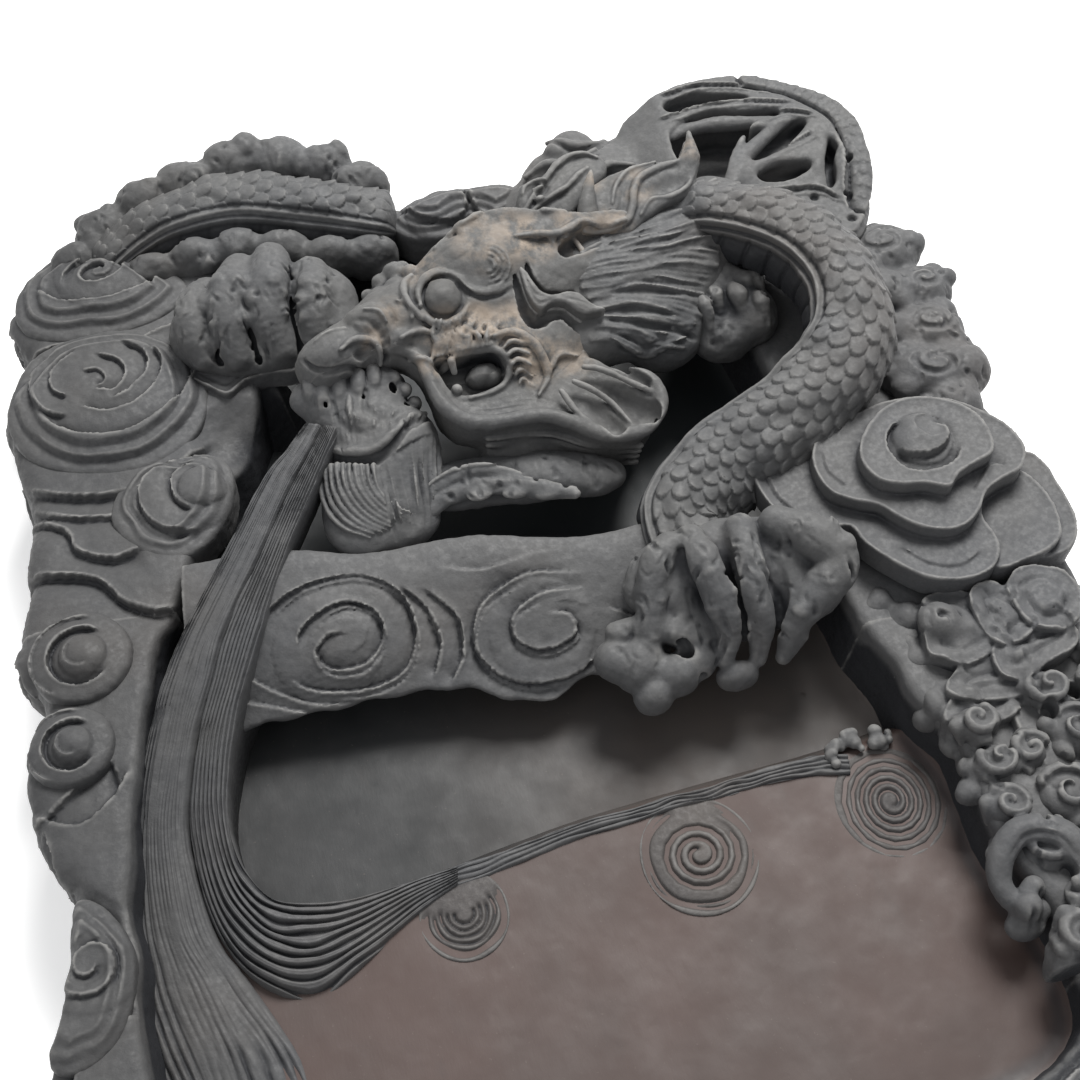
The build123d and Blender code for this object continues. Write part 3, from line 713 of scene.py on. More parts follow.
def bank_tops():
    """The carved tops of the banks, as one map over the stone."""
    rng = np.random.default_rng(7)
    top = Relief((-154, -182), (154, 182), STEP, BANK_Z - 1.0)
    top.h += 1.2 * smooth_noise(top.h.shape, (7, 8), rng)
    top.h += step_up(top.y, 96, 122) * (REAR_Z - BANK_Z)
    top.h -= (1 - step_up(top.y, -146, -118)) * (BANK_Z - LIP_Z - 1)
    # left bank: shelves of cloud between the swirls
    top.ledge([(-150, 112), (-128, 116), (-108, 110), (-90, 114), (-70, 108)], 2.6, 5)
    top.ledge([(-150, 105), (-132, 111), (-112, 114), (-96, 112)], 1.8, 4)
    top.ledge([(-148, 74), (-142, 62), (-128, 55), (-110, 53), (-96, 60), (-86, 70)], 3.4, 7)
    top.ledge([(-150, 66), (-138, 52), (-120, 46), (-110, 48)], 2.2, 5)
    top.ledge([(-150, 48), (-140, 50), (-131, 44), (-128, 36), (-118, 31), (-109, 33)], 3.2, 5)
    top.ledge([(-150, 33), (-138, 30), (-124, 26), (-116, 16), (-105, 11), (-94, 18)], 3.8, 6)
    top.ledge([(-122, -42), (-124, -32), (-136, -40), (-146, -46)][::-1], 2.2, 4)
    top.ledge([(-118, -34), (-126, -44), (-134, -47), (-146, -40)], 2.0, 5)
    top.ledge([(-126, -80), (-132, -74), (-138, -82), (-135, -94), (-140, -104), (-148, -110)], 2.4, 4)
    top.ledge([(-121, -98), (-128, -100), (-135, -106), (-140, -118)], 2.2, 4)
    for i in range(9):
        top.groove([(-138 + i * 1.7, -58 - i * 1.5), (-132 + i * 1.4, -68 - i * 2),
                    (-124 + i * 0.6, -76 - i * 2.4)], 0.55, 0.9)
    # rear bank and right bank
    top.ledge([(-60, 168), (-30, 156), (0, 157), (30, 152), (52, 160)], 2.4, 5)
    top.ledge([(142, 92), (130, 92), (122, 82), (126, 70), (118, 58), (124, 44), (116, 34)], 2.6, 5)
    top.ledge([(148, 66), (138, 60), (134, 50), (140, 40)], 2.2, 4)
    top.ledge([(148, -34), (136, -42), (124, -48), (112, -60), (108, -76), (112, -92)], 2.6, 5)
    top.ledge([(146, -60), (134, -66), (124, -80), (124, -96), (116, -110), (106, -122)], 2.6, 5)
    top.ledge([(148, -92), (138, -98), (132, -112), (122, -124), (110, -134)], 2.4, 5)
    # front: broad low waves along the lip
    for start, end in ((-140, -70), (-80, -8), (-18, 56), (46, 112), (100, 142)):
        middle = (start + end) / 2
        top.ledge([(end, -150), (middle + 8, -160), (middle - 8, -171), (start, -165)], 2.0, 5)
        top.ledge(spiral_points((middle + 14, -166), 6.5, 1.6, 0.5, 1), 1.3, 2, smooth=False)
    # the hollow below the lip of the left bank
    top.dome((-78, 66), 16, -9, power=1.4)
    return top


def stone_block():
    """The slab and the banks share one block of clay, and part along the lines of the frame."""
    clay = Clay((-154, -182, -1.5), (154, 182, 53), STEP)
    x, y = clay.plan()
    outside, around = outer_wall(x, y)
    length = around.max()
    relief = wall_relief(length, 54, np.random.default_rng(3))
    z = clay.axes[2]
    rows = np.clip((z / relief.step + 0.5).astype(int), 0, relief.size[1] - 1)
    columns = np.clip((around / relief.step + 0.5).astype(int), 0, relief.size[0] - 1)
    well = inside_distance(x, y, WELL)
    top = bank_tops()
    tops = top.at(x, y)
    lumps = 2.0 * smooth_noise(top.h.shape, (26, 30), np.random.default_rng(5))
    walls = np.empty(clay.size, np.float32)
    for k, level in enumerate(z):
        foot = 1.5 * np.exp(-max(level, 0) / 2.0)
        walls[:, :, k] = outside + 1.6 + foot - relief.h[columns, rows[k]]
    hollow_wall = -well[:, :, None] + (0.08 * np.maximum(z - FLOOR_Z, 0) - 1.0)[None, None, :]
    hollow_wall += lumps[:x.shape[0], :x.shape[1], None] * 0.6
    banks = smooth_max(smooth_max(walls, z[None, None, :] - tops[:, :, None], 8.0), hollow_wall, 3.5)
    floor = FLOOR_Z + 3.5 * np.exp(-np.maximum(-well, 0) / 3.0) - 0.5 * np.exp(-(well / 40) ** 2)
    slab = smooth_max(walls, z[None, None, :] - floor[:, :, None], 0.5)
    slab = np.maximum(slab, -z[None, None, :])
    return clay, banks, slab


def well_ink_and_painted_shade(points):
    """Old ink and painted shade darken the walls of the well below its rim."""
    near = inside_distance(points[:, 0], points[:, 1], WELL)
    return 0.50 * (1 - step_up(near, 2.0, 7.0)) * (1 - step_up(points[:, 2], 31.0, 45.0))


def region(clay, low, high, tongue=1.5, sink=0.12):
    """What keeps a block to a rectangle of the plan, with a sunken tongue past its low sides."""
    x, y = clay.plan()
    beyond = np.maximum(np.maximum(low[0] - x, low[1] - y), np.maximum(x - high[0], y - high[1]))
    over_low = np.maximum(low[0] - x, low[1] - y)
    keep = np.where(over_low > 0, beyond - tongue, beyond)
    shift = np.where(over_low > 0, sink, 0.0)
    return keep[:, :, None].astype(np.float32), shift[:, :, None].astype(np.float32)


BANKS = {
    "front_lip": ((-200, -200), (200, -138)),
    "left_lower_bank": ((-200, -138), (0, 12)),
    "left_upper_bank": ((-200, 12), (0, 108)),
    "rear_left_bank": ((-200, 108), (26, 200)),
    "rear_right_bank": ((26, 96), (200, 200)),
    "right_upper_bank": ((0, -36), (200, 96)),
    "right_lower_bank": ((0, -138), (200, -36)),
}


def make_block():
    clay, banks, slab = stone_block()
    clay.field = slab
    skin(clay, "slab_carved", "slab", GROUND, "ground_slate", rough=0.35)
    banks = np.maximum(banks, FLOOR_Z - 1.0 - clay.axes[2][None, None, :])
    for name, (low, high) in BANKS.items():
        a = [int(np.clip((low[i] - 3 - clay.low[i]) / STEP, 0, clay.size[i] - 1)) for i in range(2)]
        b = [int(np.clip((high[i] + 3 - clay.low[i]) / STEP, a[i] + 2, clay.size[i])) for i in range(2)]
        # a block of one voxel, which takes over this bank's columns of the shared block
        part = Clay((0, 0, 0), (1, 1, 1), STEP)
        part.low = clay.low + np.array([a[0] * STEP, a[1] * STEP, 0])
        part.axes = [clay.axes[0][a[0]:b[0]], clay.axes[1][a[1]:b[1]], clay.axes[2]]
        keep, shift = region(part, low, high)
        part.field = np.maximum(banks[a[0]:b[0], a[1]:b[1]] + shift, keep)
        skin(part, name + "_carved", name, CARVED, "carved_slate", stain=well_ink_and_painted_shade)


make_block()

# ================================================================ grinding bed, medallions
BED_EDGE = [(-124, -60), (-100, -74), (-80, -80), (-50, -77), (-28, -73.5), (-8, -70.5), (9, -69),
            (31, -67.5), (58, -66), (76, -64), (104, -58)]


def bed_edge_y(x):
    line = smooth_curve(BED_EDGE)
    return np.interp(x, line[:, 0], line[:, 1])


def bed_edge_ink_and_painted_shade(points):
    """Dried ink and painted shade lie where the bed meets the walls of the well, more towards its right."""
    near = -inside_distance(points[:, 0], points[:, 1], WELL)
    return 0.22 * (1 - step_up(near, 1.0, 8.0)) * step_up(points[:, 0], -60.0, 40.0)


def make_bed():
    """The ground bed: slightly dished, and run down into the pool along a smooth slope."""
    clay = Clay((-126, -168, 14), (108, -38, 31), 0.75)
    x, y = clay.plan()
    past_edge = y - bed_edge_y(x)
    top = BED_Z - 10.6 * step_up(past_edge, -0.5,
            9.0) - 0.8 * np.exp(-((x + 5) / 60) ** 2 - ((y + 112) / 32) ** 2)
    well = inside_distance(x, y, WELL)
    top += 1.2 * np.exp(-np.maximum(-well, 0) / 1.6)
    clay.field = np.maximum(clay.axes[2][None, None, :] - top[:, :, None],
                            (well - 2.0)[:, :, None]).astype(np.float32)
    clay.field = np.maximum(clay.field, 15.0 - clay.axes[2][None, None, :])
    skin(clay, "grinding_bed_ground", "grinding_bed", GROUND, "ground_slate", rough=0.3, stain=bed_edge_ink_and_painted_shade)


MEDALLIONS = [((-42, -86), 11.0), ((21, -84), 15.0), ((75, -81), 14.5)]


def make_medallions():
    """Three wave curls in very low relief under the crest, drawn by incised lines."""
    low, high = (-60, -104), (94, -60)
    clay = Clay((*low, 24.0), (*high, 29.6), 0.4)
    relief = Relief(low, high, 0.4, BED_Z - 0.65)
    rng = np.random.default_rng(4)

    def arcs(centre, radii, start, end, squash=1.0):
        for radius in radii:
            a = np.radians(np.linspace(start, end, 40)) + rng.uniform(-0.1, 0.1)
            wave = radius * (1 + 0.02 * np.sin(a * 5 + radius))
            line = np.stack([centre[0] + wave * np.cos(a), centre[1] + wave * squash * np.sin(a)], 1)
            relief.groove(line, 1.1, 0.55, smooth=False)

    for centre, radius in MEDALLIONS:
        relief.dome(centre, radius + 3.0, 1.5)
    arcs(MEDALLIONS[0][0], (10.6, 9.6, 7.8, 6.0, 4.3, 2.6), 158, 392)
    arcs(MEDALLIONS[1][0], (14.6, 13.4), 100, 425)
    for shrink in (0.0, 1.0):
        relief.groove(spiral_points(MEDALLIONS[1][0], 11.6 - shrink, 3.1, 1.4, -1, 0.95), 1.1, 0.55,
                      smooth=False)
    relief.groove(spiral_points(MEDALLIONS[2][0], 14.2, 5.6, 1.2, -1, 1.12, 0.08, -0.2), 1.1, 0.55,
                  smooth=False)
    for centre, radius in MEDALLIONS:
        clay.slab(ring(centre, radius + 0.6, 1.06, count=64), 24.4, relief.at(*clay.plan()), edge=0.5)
    skin(clay, "medallions_carved", "medallions", WASHED, "carved_slate", rough=0.3)


# ================================================================ scroll bridge
BRIDGE_SKEW = math.radians(-6.0)


BRIDGE_HEM = [(-80, 30), (-66, 33), (-54, 37), (-42, 35.5), (-29, 34), (-7, 32), (6, 32), (14, 34),
              (22, 37), (32, 38), (44, 32), (51, 35), (60, 38), (70, 36)]


def make_bridge():
    """The bar across the pool: a narrow flat top and a long slanted face with two bold incised spirals."""
    clay = Clay((-102, -44, 26.5), (34, 26, 53), 0.5)
    x, y, z = (clay.axes[0][:, None, None], clay.axes[1][None, :, None], clay.axes[2][None, None, :])
    across = (x + 35) * -math.sin(BRIDGE_SKEW) + y * math.cos(BRIDGE_SKEW)
    along = (x + 35) * math.cos(BRIDGE_SKEW) + y * math.sin(BRIDGE_SKEW)
    slope = math.atan2(17, 30)
    face = (across - 3.0) * -math.sin(slope) + (z - 49.5) * math.cos(slope)
    # down the face from its top edge
    down = -(across - 3.0) * math.cos(slope) - (z - 49.5) * math.sin(slope)
    relief = Relief((-70, -14), (70, 44), 0.4, 0.0)
    bold = (([(-50, 24), (-46, 9), (-34, 0), (-18, -2), (-7, 4), (-3.5, 15), (-7, 25), (-18, 29.5),
              (-32, 28.5), (-40, 24)],
             1.9,
             3.2),
            ([(-36, 19), (-34, 11), (-23, 5), (-14, 8.5), (-12.5, 16), (-18, 22.5), (-27, 23),
              (-31, 18.5), (-27, 13.5), (-21, 14)],
             1.8,
             2.6),
            ([(46, 4), (29, 2.5), (16, 9), (12, 20), (17.5, 29), (28, 33), (40, 31), (48, 25)],
             1.9,
             3.0),
            ([(46, 8), (33, 8), (24, 13), (23.5, 20), (31, 24), (40, 20.5), (39, 15), (33, 14)],
             1.8,
             2.4),
            ([(-7, 2), (0, 9), (3, 19), (0, 29)], 1.7, 2.4),
            ([(-1, 3), (8, 12), (8.5, 23), (4, 31)], 1.5, 2.2))
    for points, depth, width in bold:
        relief.ledge(points[::-1], depth, width, 0.5)
        relief.ledge([(a + 0.4, b + 2.0) for a, b in points[1:-1]][::-1], depth * 0.45, 1.5, 0.25)
    for points in ([(-64, 16), (-54, 20), (-44, 27), (-33, 32), (-22, 33)],
                   [(-66, 24), (-56, 28), (-44, 31.5), (-33, 35)],
                   [(-60, 4), (-50, -4), (-36, -8), (-18, -8), (-4, -3)],
                   [(4, -2), (16, 0), (30, -3), (46, -4)], [(50, 14), (58, 18), (64, 26)]):
        relief.ledge(points, 1.1, 2.6, 0.3)
    for centre in ((-28, 18), (31, 19)):
        relief.dome(centre, 15, 1.2)
    relief.h += 0.5 * smooth_noise(relief.h.shape, (14, 6), np.random.default_rng(11))
    carved = relief.at(np.broadcast_to(along, clay.size), np.broadcast_to(down, clay.size))
    hem_line = smooth_curve(BRIDGE_HEM)
    hem = np.interp(along, hem_line[:, 0], hem_line[:, 1]) + 0.5 * np.sin(along / 2.3)
    back = across - 14.0 - 1.2 * np.sin(along / 9.0) + 0.03 * along
    shape = smooth_max(face - carved - 0.6 * np.sin(down / 34 * math.pi),
                       z - 50.0 - 0.6 * np.sin(along / 9.0), 2.5)
    shape = smooth_max(smooth_max(shape, back, 2.5), down - hem, 1.8)
    shape = smooth_max(shape, 28.5 - z, 1.5)
    clay.field = np.maximum(shape, np.maximum(-66 - along, along - 66)).astype(np.float32)
    skin(clay, "scroll_bridge_carved", "scroll_bridge", CARVED, "carved_slate")


# ================================================================ clouds
def ring(centre, radius, squash=1.0, waves=0, depth=0.0, turn=0.0, count=36):
    """A closed round or scalloped outline."""
    a = np.linspace(0, 2 * math.pi, count, endpoint=False)
    r = radius * (1 + depth * np.abs(np.sin(a * waves / 2 + turn)))
    return np.stack([centre[0] + r * np.cos(a), centre[1] + r * squash * np.sin(a)], 1)


def arc(centre, radius, start, end, squash=1.0, count=9):
    """Points of an arc, its angles in degrees."""
    a = np.radians(np.linspace(start, end, count))
    return [(centre[0] + radius * math.cos(t), centre[1] + radius * squash * math.sin(t)) for t in a]


def rock_cuts(clay, low, high, count, seed):
    """Short rough chisel cuts scattered over a piece."""
    rng = np.random.default_rng(seed)
    for _ in range(count):
        spot = np.array([rng.uniform(a, b) for a, b in zip(low, high)])
        turn = rng.uniform(-0.9, 0.9) - math.pi / 2
        reach = rng.uniform(2.5, 6.0)
        end = spot + reach * np.array((math.cos(turn), math.sin(turn)))
        middle = (spot + end) / 2 + rng.uniform(-1, 1, 2)
        clay.ridge([spot, middle, end], [0.3, rng.uniform(0.5, 1.1), 0.3], 0.25, cut=True)


def make_cloud(outline, foot, low_top, terraces=(3, 3.2, 1.3), lines=(), spirals=(), domes=(), step=0.5,
               edge=2.4):
    """A cloud that rises from a bank in terraces. Its lines and spirals have a steep side and a soft one."""
    outline = smooth_curve(outline, closed=True)
    low, high = outline.min(0) - 3, outline.max(0) + 3
    relief = Relief(low, high, step, low_top)
    inside = -inside_distance(relief.x, relief.y, outline)
    inside = inside + 1.4 * smooth_noise(relief.h.shape, (5, 5),
            np.random.default_rng(int(abs(outline[0, 0]))))
    count, width, rise = terraces
    for k in range(1, count + 1):
        relief.h += rise * step_up(inside, k * width - 0.7, k * width + 0.9)
        relief.h += 0.45 * np.exp(-((inside - k * width - 1.4) / 0.7) ** 2)
    for centre, radius, height in domes:
        relief.dome(centre, radius, height)
    for points, depth, width in lines:
        relief.ledge(points, depth, width, 0.45)
    for centre, radius, turns, start, hand, depth, width, squash, tilt in spirals:
        relief.ledge(spiral_points(centre, radius, turns, start, hand, squash, 0.15, tilt), depth, width, 0.5,
                     smooth=False)
    clay = Clay((*low, foot - 13), (*high, relief.h.max() + 3), step)
    x, y = clay.plan()
    clay.slab(outline, foot - 11.0, relief.at(x, y), edge=edge)
    clay.field = smooth_max(clay.field, (inside_distance(x, y, STONE) + 1.2)[:, :, None], 3.0)
    return clay


def make_left_clouds():
    clay = make_cloud(
        [(-142, 128), (-132, 118), (-116, 116), (-98, 120), (-88, 130), (-94, 142), (-108, 152),
         (-126, 156), (-140, 146)],
        REAR_Z, REAR_Z + 0.6, (2, 4.4, 1.5),
        lines=[([(-136, 140), (-128, 132), (-114, 129), (-100, 133), (-96, 141)][::-1], 1.6, 3),
               ([(-130, 150), (-118, 154), (-104, 150), (-97, 144)], 1.2, 2.4)],
        spirals=[((-115, 141), 12, 1.7, 3.4, -1, 2.0, 2.4, 0.66, 0.3)],
        domes=[((-113, 141), 16, 1.4)])
    skin(clay, "left_rear_cloud_carved", "left_rear_cloud", CARVED, "carved_slate")
    clay = make_cloud(
        [(-147, 98), (-145, 82), (-137, 68), (-122, 61), (-106, 60), (-92, 68), (-86, 82), (-86, 98),
         (-93, 110), (-110, 116), (-132, 114)],
        BANK_Z, BANK_Z + 0.6, (2, 4.6, 1.7),
        lines=[([(-92, 108), (-89, 96), (-93, 84), (-102, 75), (-114, 71), (-127, 75), (-135, 84)],
                2.4,
                2.6),
               ([(-101, 105), (-98, 96), (-101, 87), (-108, 81), (-116, 80), (-124, 84)], 2.6, 2.4),
               ([(-110, 107), (-103, 101), (-103, 93), (-108, 87), (-114, 84)], 2.4, 2.2),
               ([(-118, 103), (-111, 99), (-109, 93), (-113, 88), (-119, 89)], 2.0, 1.9),
               ([(-122, 96), (-117, 96), (-115, 92), (-118, 90)], 1.4, 1.4),
               ([(-124, 112), (-134, 106), (-138, 96), (-134, 85), (-126, 80)], 2.2, 2.6),
               ([(-122, 106), (-130, 100), (-131, 92), (-126, 87)], 1.8, 2.0)],
        domes=[((-114, 90), 26, 2.0)])
    skin(clay, "left_middle_cloud_carved", "left_middle_cloud", CARVED, "carved_slate")
    clay = make_cloud(
        [(-118, 46), (-113, 34), (-103, 27), (-93, 29), (-85, 39), (-82, 52), (-87, 61), (-98, 64),
         (-111, 60)],
        BANK_Z, BANK_Z + 0.3, (2, 3.2, 1.2),
        lines=[([(-86, 57), (-94, 61), (-103, 58), (-109, 51), (-108, 42), (-102, 35), (-92, 33)],
                2.8,
                2.4),
               ([(-92, 57), (-99, 53), (-99, 45), (-94, 39)], 2.8, 2.0)],
        domes=[((-96, 46), 13, 1.6), ((-91, 47), 6.8, 2.6)])
    skin(clay, "left_inner_cloud_carved", "left_inner_cloud", CARVED, "carved_slate")
    clay = make_cloud(
        [(-145, -100), (-138, -110), (-126, -104), (-121, -88), (-125, -74), (-134, -68), (-141, -80)],
        BANK_Z, BANK_Z + 0.3, (2, 2.6, 1.0),
        spirals=[((-131, -86), 9.5, 1.7, 2.0, 1, 1.5, 2.0, 1.0, 0)], domes=[((-131, -86), 12, 1.2)])
    skin(clay, "left_front_cloud_carved", "left_front_cloud", CARVED, "carved_slate")

    low, high = (-148, -44), (-108, 38)
    relief = Relief(low, high, 0.5, BANK_Z + 0.2)
    clay = Clay((*low, BANK_Z - 13), (*high, BANK_Z + 10), 0.5)
    x, y = clay.plan()
    knobs = (((-129, 0), 14.0, 2.6), ((-133, -26), 11.5, 2.4))
    for (cx, cy), radius, height in knobs:
        relief.dome((cx, cy), radius, height)
        relief.ledge(arc((cx + 0.5, cy - 0.5), radius * 0.62, 330, 40), 2.6, 1.9, 0.5)
        relief.ledge(arc((cx - 1.0, cy), radius * 0.86, 250, 60), 1.0, 1.5, 0.4)
        relief.dome((cx + 1.0, cy - 0.8), radius * 0.46, 2.6)
        relief.ledge(arc((cx + 0.6, cy - 0.6), radius * 0.28, 300, 120), 0.8, 1.0, 0.3)
    for (cx, cy), radius, height in knobs:
        clay.slab(ring((cx, cy), radius), BANK_Z - 11, relief.at(x, y), edge=1.8)
    clay.field = smooth_max(clay.field, (inside_distance(x, y, STONE) + 1.2)[:, :, None], 3.0)
    skin(clay, "left_scroll_knobs_carved", "left_scroll_knobs", CARVED, "carved_slate")


def make_bank_lip():
    """The thin lip of the left bank that runs under the hind claw to the muzzle, and the rock below it."""
    low, high = (-116, 66), (-50, 118)
    clay = Clay((*low, 16), (*high, 52), 0.55)
    x, y = clay.plan()
    edge = [(-110, 77), (-102, 84), (-96, 89), (-91, 90), (-85, 85), (-80, 81), (-74, 85), (-66, 86),
            (-57, 86)]
    outline = smooth_curve(edge + [(-54, 98), (-60, 110), (-84, 114), (-106, 108)], closed=True, parts=4)
    d = np.minimum(inside_distance(x, y, outline), 0)
    clay.slab(outline, 41.0, (46.6 + 1.9 * np.exp(d / 1.4) + 0.02 * (x + 100)).astype(np.float32), edge=0.9)
    wall = np.array([(-106, 76), (-92, 76), (-80, 74), (-68, 76), (-58, 80), (-56, 96), (-80, 108),
                     (-106, 106)], float)
    slope = 16 + 27 * step_up(-inside_distance(x, y, smooth_curve(wall, closed=True)), 0.0, 13.0)
    clay.slab(smooth_curve(wall, closed=True), 15.0, slope.astype(np.float32), edge=2.0, blend=2.0)
    for shift in (2.4, 4.8):
        clay.ridge([(p[0], p[1] + shift) for p in edge], [0.4, 0.8, 0.4], 0.2, cut=True)
    skin(clay, "left_bank_lip", "left_upper_bank", CARVED, "carved_slate", stain=well_ink_and_painted_shade)


def make_rear_cloud():
    clay = make_cloud(
        [(-20, 146), (-14, 136), (-3, 133), (6, 137), (14, 132), (25, 137), (28, 147), (16, 154), (-4, 155)],
        REAR_Z, REAR_Z + 1.5, (3, 2.4, 1.6),
        lines=[([(-16, 150), (-10, 140), (0, 138), (6, 143), (4, 150)], 2.0, 2.5),
               ([(6, 150), (10, 139), (18, 137), (24, 143)], 2.0, 2.5)],
        domes=[((-3, 144), 12, 2.0), ((16, 144), 11, 1.8)])
    skin(clay, "rear_cloud_carved", "rear_cloud", CARVED, "carved_slate")


BIG_CLOUD = [  # top of the rim, then the outline
    (51.5, [(130, 8), (143, 5), (147, 0), (148, -8), (148, -20), (144, -28), (136, -31), (122, -28),
            (120, -10)]),
    (54.5, [(112, -18), (113, -28), (119, -33), (127, -32), (135, -30), (140, -26), (142, -18),
            (141, -10), (137, -3), (126, 0)]),
    (56.5, [(97, 24), (91, 27), (84, 27), (76, 25), (68, 22), (64, 18), (62, 10), (63, 2), (66, -5),
            (71, -10), (77, -11), (83, -12), (85, -18), (90, -25), (97, -32), (105, -35), (112, -35),
            (118, -32), (121, -25), (120, -16), (126, -6), (132, 8), (118, 22)]),
    (61.5, [(96, 22), (88, 19), (82, 16), (78.5, 10), (78, 3), (80, -3), (85, -7), (91, -10),
            (95, -15), (100, -19.5), (107, -22), (113, -21), (118, -17), (122, -12), (128, -9),
            (134, -7), (138, -1), (137, 7), (133, 13), (127, 19), (120, 22.5), (108, 24.5)]),
    (66.5, [(101, 18), (95, 13), (90.5, 7), (89.5, 1), (92, -5), (98, -8), (104, -9), (110, -11.5),
            (114, -8), (120, -5.5), (126, -3), (128, 3), (127, 10), (123, 15.5), (117, 19),
            (109, 20.5)]),
]


def make_big_cloud():
    """Stepped layers with thin raised rims and steep dark walls, and a curl on the uppermost."""
    low, high = (56, -43), (152, 36)
    clay = Clay((*low, 40), (*high, 74), 0.5)
    x, y = clay.plan()
    foot = 44.0
    for top, outline in BIG_CLOUD:
        outline = smooth_curve(outline, closed=True, parts=4)
        d = np.minimum(inside_distance(x, y, outline), 0)
        surface = top - 1.3 + 1.5 * np.exp(d / 1.5) + 1.6 * (1 - np.exp(d / 14))
        relief = Relief(low, high, 0.5, 0.0)
        if top == BIG_CLOUD[-1][0]:
            relief.ledge([(119, 2), (115, -3), (108, -4.8), (102, -3.4), (99, 1), (98.5, 6), (101, 11),
                          (107, 14)], 2.4, 3.4, 0.4)
            relief.dome((109, 6), 8.5, 2.4)
            relief.ledge([(100.5, 4.5), (103, 1.5), (107.5, 0), (112, 0.8), (115.8, 4), (116.2, 8),
                          (113, 11)], 2.6, 1.8, 0.5)
            relief.dome((112, 9), 4.5, -1.6)
        if top == BIG_CLOUD[2][0]:
            relief.ledge([(67, 19), (66, 9), (67, 2), (71, -5), (78, -8)], 0.9, 2.2, 0.3)
            relief.ledge([(93, -20), (100, -28), (108, -30.5), (116, -27)], 0.6, 2.2, 0.25)
        if top == BIG_CLOUD[3][0]:
            relief.ledge([(82, 12), (81.5, 4), (85, -2)], 0.7, 2.2, 0.2)
            relief.ledge([(131, -5), (126, -4), (118, -12)], 1.0, 2.2, 0.25)
        clay.slab(outline, foot - (3.0 if foot < 45 else 0), (surface + relief.at(x, y)).astype(np.float32),
                  edge=0.8, foot=1.2)
        foot = top - 8
    # hollowed under the overhang on the pool's side
    clay.tube([(60, 14, 44), (60, 2, 44), (66, -9, 44), (78, -14, 43.5), (84, -22, 43), (94, -34, 43),
               (106, -38, 43)],
              [3, 4.6, 5.2, 5.4, 5, 5, 4], blend=1.5, cut=True)
    skin(clay, "big_cloud_carved", "big_cloud", CARVED, "carved_slate", rough=0.7)


make_bed()
make_medallions()
make_bridge()
make_left_clouds()
make_bank_lip()
make_rear_cloud()
make_big_cloud()


# ================================================================ scaled bodies of the dragon
def scale_heights(along, around, length, width):
    """Overlapping round-ended scales, 0 to 1: highest at each free tip, which points along the body."""
    s, t = along / length, around / width
    row = np.floor(s)
    height = np.zeros(np.broadcast(s, t).shape)
    found = np.zeros(height.shape, bool)
    for k in (row - 1, row):
        middle = t - 0.5 * (k % 2)
        off = middle - np.round(middle)
        dome = np.sqrt(np.maximum(1 - (2 * off) ** 2, 0))
        here = (s <= k + 1.02 + 0.62 * dome) & ~found
        height = np.where(here, (s - k) / 1.64 * 0.72 + 0.28 * dome, height)
        found |= here
    return height


